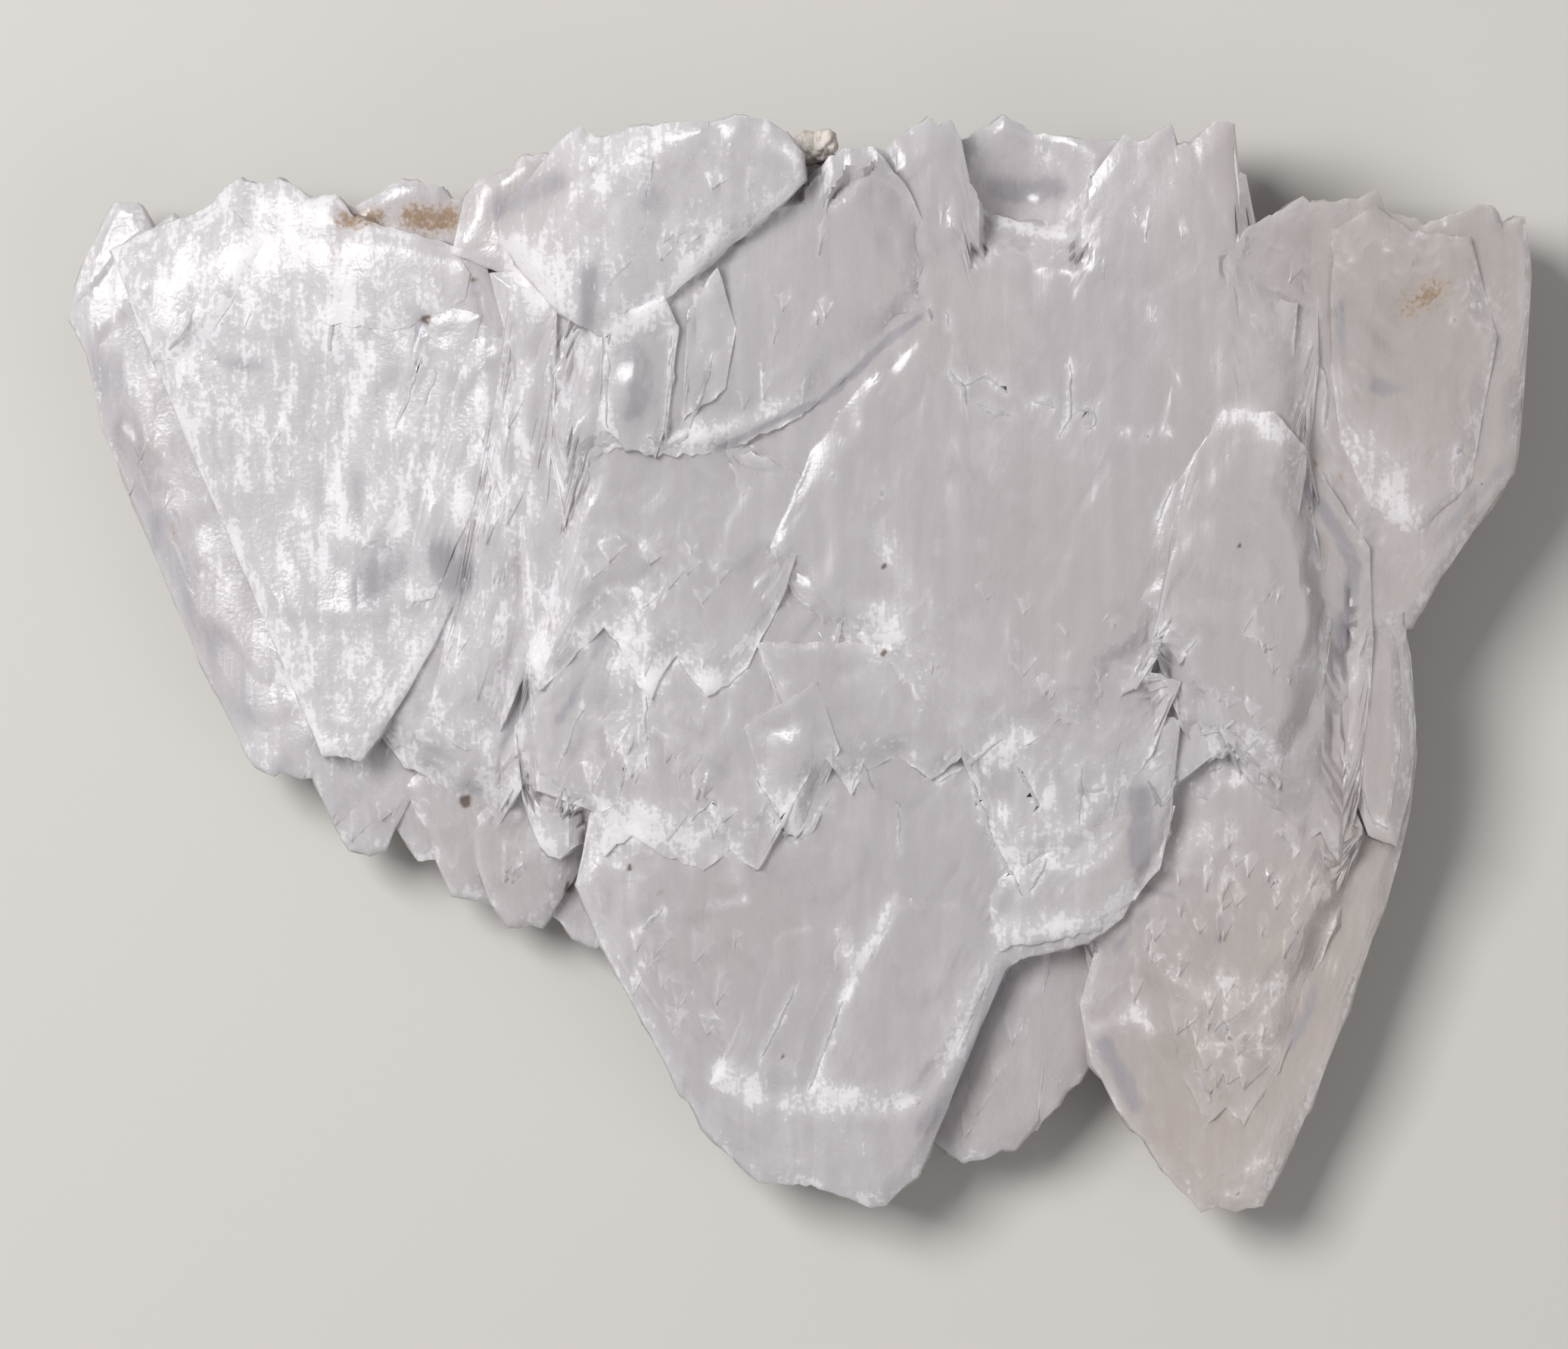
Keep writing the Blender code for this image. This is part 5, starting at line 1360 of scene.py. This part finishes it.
# Patterns in the crystal: features per millimetre along X, Y and Z, lean, detail and roughness.
# Feathery flaws are about 1.3 mm wide and drawn out along the fibres, fibres are 0.3 mm apart,
# streaks 0.8 mm wide and 10 mm long, frost has grains of 0.3 mm and a sheet is 0.5 mm thick.
CRYSTAL_PATTERNS = {
    "feather": ((0.75, 0.36, 0.6), 0.0, 3.0, 0.66),
    "fibres": ((3.6, 0.30, 1.2), 0.14, 1.0, 0.6),
    "streaks": ((1.3, 0.10, 0.5), 0.10, 2.0, 0.62),
    "grain": ((3.0, 3.0, 3.0), 0.0, 1.0, 0.7),
    "sheets": ((0.16, 0.16, 1.9), 0.0, 0.0, 0.5),
}


def add_node(tree, kind, settings=None, inputs=None, output=0):
    """One shader node with its settings and inputs, given back as one of its outputs.

    An input that is another node's output is linked, and any other is set as a value.
    """
    node = tree.nodes.new("ShaderNode" + kind)
    for key, value in (settings or {}).items():
        setattr(node, key, value)
    for key, value in (inputs or {}).items():
        if isinstance(value, bpy.types.NodeSocket):
            tree.links.new(value, node.inputs[key])
        else:
            node.inputs[key].default_value = value
    return node.outputs[output] if node.outputs else node


def new_material(name):
    """An empty material, with a function that adds a node to it."""
    material = bpy.data.materials.new(name)
    material.use_nodes = True
    material.node_tree.nodes.clear()
    return material, functools.partial(add_node, material.node_tree)


def fibrous_selenite(colours):
    """Fibrous selenite: gypsum cleaved along its fibres, IOR 1.52, translucent like wax.

    Clear crystal lets the eye into it and shows greyer; flaws, fibre ends and cleavage planes
    scatter the light, so they show white, matt and hardly see-through. The same white also
    paints highlights, glints and the glow of thin edges, and makes them matt too. Fibres run
    near Y and give the faces a silky streak.
    """
    material, add = new_material("fibrous_selenite")
    place = add("TexCoord", output="Object")
    mark = {label: add("Attribute", {"attribute_name": label}, output="Fac")
            for label in CRYSTAL_MARKS}

    # Each pattern swings about 0.
    swing = {}
    for label, (per_mm, lean, detail, roughness) in CRYSTAL_PATTERNS.items():
        turned = add("Mapping", inputs={
            "Vector": place, "Rotation": (0.0, 0.0, lean),
            "Scale": tuple(PER_MM * value for value in per_mm),
        })
        noise_value = add("TexNoise", inputs={
            "Vector": turned, "Scale": 1.0, "Detail": detail, "Roughness": roughness,
        })
        swing[label] = add("Math", SUBTRACT, {0: noise_value, 1: 0.5})

    def ragged(label, low, high, **amounts):
        """A mark made ragged by so much of each pattern, then carried from low..high to 0..1."""
        total = mark[label]
        for pattern, amount in amounts.items():
            total = add("Math", MULTIPLY_ADD, {0: swing[pattern], 1: amount, 2: total})
        return add("MapRange", SOFT_RANGE, {"Value": total, "From Min": low, "From Max": high})

    # Milk is soft; flakes are its hard, ragged, white edges; sheets show in a broken side.
    # Milk and flakes both carry the painted highlights and glow of the frost mark.
    milk = ragged("frost", 0.0, 1.15, feather=0.7, streaks=0.3)
    flakes = ragged("frost", 0.62, 0.86, feather=1.5, grain=0.9, fibres=0.7)
    milky = add("Math", MULTIPLY, {0: milk, 1: 0.62})
    flaky = add("Math", MULTIPLY_ADD, {0: flakes, 1: 0.38, 2: milky})
    broken = add("Math", MULTIPLY, {0: mark["broken"], 1: 1.2})
    frost = add("Math", CLAMPED_SUM, {0: swing["sheets"], 1: broken, 2: flaky})
    window = ragged("window", 0.3, 0.75, feather=1.3)
    stain = ragged("stain", 0.3, 1.0, grain=1.1)
    speck = ragged("grain", 0.35, 0.75)

    colour = tuple(colours.body)
    # The veil colour, laid where the frost mark is, paints frost and the painted highlights, glints
    # and glow alike.
    for factor, strength, tint in (
        (mark["warm"], 0.9, colours.warm), (window, 1.0, colours.window),
        (frost, 1.0, colours.veil), (mark["warm"], 0.3, colours.warm),
        (stain, 0.85, colours.iron), (speck, 0.85, colours.grit),
    ):
        share = add("Math", MULTIPLY, {0: factor, 1: strength})
        colour = add("Mix", OF_COLOURS, {"Factor": share, "A": colour, "B": tuple(tint)}, "Result")

    # Clear crystal is up to 30% see-through, unless it is stained.
    clear = add("Math", SUBTRACT, {0: 1.0, 1: frost})
    dirt = add("Math", ADD, {0: stain, 1: speck})
    clean = add("MapRange", SOFT_RANGE, {
        "Value": dirt, "From Max": 0.6, "To Min": 0.30, "To Max": 0.0,
    })
    see_through = add("Math", MULTIPLY, {0: clear, 1: clean})

    # Silky where it is clear, matt where it is frosty, and uneven along the streaks.
    matt = add("MapRange", SOFT_RANGE, {"Value": frost, "To Min": 0.27, "To Max": 0.50})
    roughness = add("Math", MULTIPLY_ADD, {0: swing["streaks"], 1: 0.25, 2: matt})

    # Fibres stand up to 0.01 mm out of a face, and frost, painted highlights included, is a grain
    # of 0.05 mm.
    fibres = add("Math", MULTIPLY, {0: swing["fibres"], 1: 0.18})
    grains = add("Math", ADD, {0: swing["grain"], 1: 0.5})
    height = add("Math", MULTIPLY_ADD, {0: grains, 1: mark["frost"], 2: fibres})
    silky = add("Bump", inputs={"Height": height, "Strength": 0.6, "Distance": 0.0001})

    surface = add("BsdfPrincipled", inputs={
        "Base Color": colour, "Roughness": roughness, "IOR": 1.52, "Normal": silky,
        "Transmission Weight": see_through, "Subsurface Weight": 0.45,
        "Subsurface Radius": (1.0, 1.0, 1.0), "Subsurface Scale": 0.003,
    })
    add("OutputMaterial", inputs={"Surface": surface})
    return material


def sandy_rock(colours):
    """Sandy limestone: pale grains about 0.3 mm across with a few dark ones, matt and rough."""
    material, add = new_material("sandy_rock")
    place = add("TexCoord", output="Object")
    sand = add("TexNoise", inputs={
        "Vector": place, "Scale": 3.0 * PER_MM, "Detail": 6.0, "Roughness": 0.7,
    })
    blotch = add("TexNoise", inputs={
        "Vector": place, "Scale": 0.8 * PER_MM, "Detail": 3.0, "Roughness": 0.6,
    })
    colour = tuple(colours.rock)
    for value, low, high, tint in (
        (blotch, 0.35, 0.7, linear("#EFE9E2")), (sand, 0.62, 0.74, tuple(colours.grit)),
    ):
        share = add("MapRange", SOFT_RANGE, {"Value": value, "From Min": low, "From Max": high})
        colour = add("Mix", OF_COLOURS, {"Factor": share, "A": colour, "B": tint}, "Result")
    rough = add("Bump", inputs={"Height": sand, "Strength": 0.9, "Distance": 0.00015})
    surface = add("BsdfPrincipled", inputs={
        "Base Color": colour, "Roughness": 0.85, "Normal": rough,
    })
    add("OutputMaterial", inputs={"Surface": surface})
    return material


def painted_board(colour):
    """Painted board: a plain matt emulsion, pale and without shine."""
    material, add = new_material("painted_board")
    surface = add("BsdfPrincipled", inputs={
        "Base Color": tuple(colour), "Roughness": 0.8, "Specular IOR Level": 0.2,
    })
    add("OutputMaterial", inputs={"Surface": surface})
    return material


# Operators

LEAST_FACES = 1000  # a wing with fewer did not join
SHARP_EDGE = math.radians(34)
CRUMB_ROUND, CRUMB_UP = 72, 40  # faces of the crumb round it and from pole to pole
FLOOR_HALF = 0.6
FLOOR_DROP = 0.0001  # how far the floor lies under the specimen

# Each light's name, place in metres, size, and the setting that holds its power.
SOFTBOXES = (
    ("key_softbox", (-0.26, 0.15, 0.50), 0.24, "key_power"),
    ("fill_softbox", (0.42, -0.28, 0.55), 0.5, "fill_power"),
)
ROOM_LIGHT = "#EBEAEC"
ROOM_STRENGTH = 0.30


class SELENITE_OT_grow_wing(bpy.types.Operator):
    """Grow the wing of gypsum blades and join them in one crystal group"""
    bl_idname = "selenite.grow_wing"
    bl_label = "Grow the Wing"

    def execute(self, context):
        settings = context.scene.selenite_sizes
        sizes = {label: getattr(settings, label) * PER_MM / DRAWN_SCALE for label in (
            "grid_step", "wall_step", "sheet", "sheet_relief", "fray")}
        meshes = [blade_mesh(name, sizes) for name in (*BLADES, *LAYERS)]
        meshes += scale_meshes() + ridge_meshes()
        wing = grown_together(meshes, "selenite_blades")
        mesh = wing.data
        if len(mesh.polygons) < LEAST_FACES:
            raise RuntimeError("the blades did not join")
        mark_crystal(mesh)
        mesh.shade_smooth()
        mesh.set_sharp_from_angle(angle=SHARP_EDGE)
        mesh.materials.clear()
        mesh.materials.append(fibrous_selenite(context.scene.selenite_colours))
        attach(wing, "root")
        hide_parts("selenite_wing")
        return {"FINISHED"}


class SELENITE_OT_set_crumb(bpy.types.Operator):
    """Set the crumb of sandy rock in its notch behind the blades"""
    bl_idname = "selenite.set_crumb"
    bl_label = "Set the Crumb"

    def execute(self, context):
        crumb = bpy.data.objects.new("sandy_crumb", crumb_mesh())
        context.scene.collection.objects.link(crumb)
        crumb.data.materials.append(sandy_rock(context.scene.selenite_colours))
        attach(crumb, "root")
        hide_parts("matrix_crumb")
        return {"FINISHED"}


def crumb_mesh():
    """The crumb as a lump: a ball of u round and v from pole to pole, squared off and roughened.

    Its radius is (1 + lumps + sand grains) / (|x|^3 + |y|^3 + |z|^3)^(1/3), and each axis is then
    stretched to the crumb's own box. The poles are one point each.
    """
    low, high = (np.array(corner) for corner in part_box("matrix_crumb"))
    u = np.linspace(0.0, 2 * np.pi, CRUMB_ROUND, endpoint=False)[:, None]
    v = np.linspace(0.0, np.pi, CRUMB_UP + 1)[None, :]
    x, y, z = np.cos(u) * np.sin(v), np.sin(u) * np.sin(v), np.cos(v) + 0 * u
    seam = np.cos(u) * np.sin(v) * 2.1 + 7.0
    lumps = 0.16 * noise(seam * 1.6, y * 2.4 + z * 1.7, 3)
    lumps = lumps + 0.08 * noise(seam * 3.6, z * 5.0 + y * 4.0, 4)
    grains = 0.035 * noise(seam * 10.0, z * 12.0 + y * 9.0, 6)
    radius = (1 + lumps + grains) / (np.abs(x) ** 3 + np.abs(y) ** 3 + np.abs(z) ** 3) ** (1 / 3)
    radius[:, 0], radius[:, -1] = radius[0, 0], radius[0, -1]
    shape = np.stack([x * radius, y * radius, z * radius], axis=2).reshape(-1, 3)
    shape = (shape - shape.min(axis=0)) / (shape.max(axis=0) - shape.min(axis=0))
    number = np.arange(len(shape)).reshape(x.shape)
    number[:, 0], number[:, -1] = number[0, 0], number[0, -1]
    faces = quads(np.vstack([number, number[:1]]))[:, ::-1]
    mesh = closed_mesh("sandy_crumb", low + shape * (high - low), faces)
    mesh.shade_smooth()
    return mesh


class SELENITE_OT_set_studio(bpy.types.Operator):
    """Set the floor, the lights and the camera that looks straight down"""
    bl_idname = "selenite.set_studio"
    bl_label = "Set the Studio"

    def execute(self, context):
        setup = context.scene.selenite_studio
        mesh = bpy.data.meshes.new("studio_floor")
        corners = [(FLOOR_HALF * x, FLOOR_HALF * y, -FLOOR_DROP)
                   for x, y in ((-1, -1), (1, -1), (1, 1), (-1, 1))]
        mesh.from_pydata(corners, [], [(0, 1, 2, 3)])
        floor = bpy.data.objects.new("studio_floor", mesh)
        context.scene.collection.objects.link(floor)
        mesh.materials.append(painted_board(setup.floor))

        lens = bpy.data.cameras.new("camera")
        lens.lens = setup.lens
        lens.sensor_width = SENSOR_WIDTH
        # The camera is as far above the wing's middle as makes its view as wide as the picture's.
        field = PHOTO_WIDTH / PHOTO_PIXELS_PER_MM / PER_MM
        away = field * lens.lens / lens.sensor_width
        camera = bpy.data.objects.new("camera", lens)
        x, y = (value / PER_MM for value in PHOTO_MIDDLE)
        camera.location = (x, y, away + WING_HIGH[2] / 2)
        context.scene.collection.objects.link(camera)
        context.scene.camera = camera

        for name, place, size, power in SOFTBOXES:
            lamp = bpy.data.lights.new(name, "AREA")
            lamp.size = size
            lamp.energy = getattr(setup, power)
            light = bpy.data.objects.new(name, lamp)
            light.location = place
            aim = -np.array(place)
            light.rotation_euler = (
                math.acos(-aim[2] / np.linalg.norm(aim)), 0.0,
                math.atan2(aim[1], aim[0]) - math.pi / 2,
            )
            context.scene.collection.objects.link(light)
        world = bpy.data.worlds.new("studio")
        context.scene.world = world
        world.use_nodes = True
        background = world.node_tree.nodes["Background"]
        background.inputs["Color"].default_value = linear(ROOM_LIGHT)
        background.inputs["Strength"].default_value = ROOM_STRENGTH
        context.scene.view_settings.view_transform = "Standard"
        return {"FINISHED"}


class SELENITE_PT_sidebar(bpy.types.Panel):
    """Lists the specimen's operators, sizes and colours"""
    bl_idname = "SELENITE_PT_sidebar"
    bl_label = "Angel Wing Selenite"
    bl_space_type = "VIEW_3D"
    bl_region_type = "UI"
    bl_category = "Selenite"

    def draw(self, context):
        layout = self.layout
        for operator in OPERATORS:
            layout.operator(operator.bl_idname)
        for label, group in GROUPS.items():
            box = layout.box()
            for field in group.bl_rna.properties:
                if field.identifier not in ("rna_type", "name"):
                    box.prop(getattr(context.scene, label), field.identifier)


GROUPS = {
    "selenite_sizes": SeleniteSizes,
    "selenite_colours": SeleniteColours,
    "selenite_studio": StudioSetup,
}
OPERATORS = (SELENITE_OT_grow_wing, SELENITE_OT_set_crumb, SELENITE_OT_set_studio)
CLASSES = (*GROUPS.values(), *OPERATORS, SELENITE_PT_sidebar)


def register():
    """Add the classes and the settings that a scene carries."""
    for cls in CLASSES:
        bpy.utils.register_class(cls)
    for label, group in GROUPS.items():
        setattr(bpy.types.Scene, label, bpy.props.PointerProperty(type=group))


def unregister():
    """Take them out again, in reverse."""
    for label in GROUPS:
        delattr(bpy.types.Scene, label)
    for cls in reversed(CLASSES):
        bpy.utils.unregister_class(cls)


def main():
    """Make the specimen and its studio."""
    register()
    bpy.ops.selenite.grow_wing()
    bpy.ops.selenite.set_crumb()
    bpy.ops.selenite.set_studio()


if __name__ == "__main__":
    main()
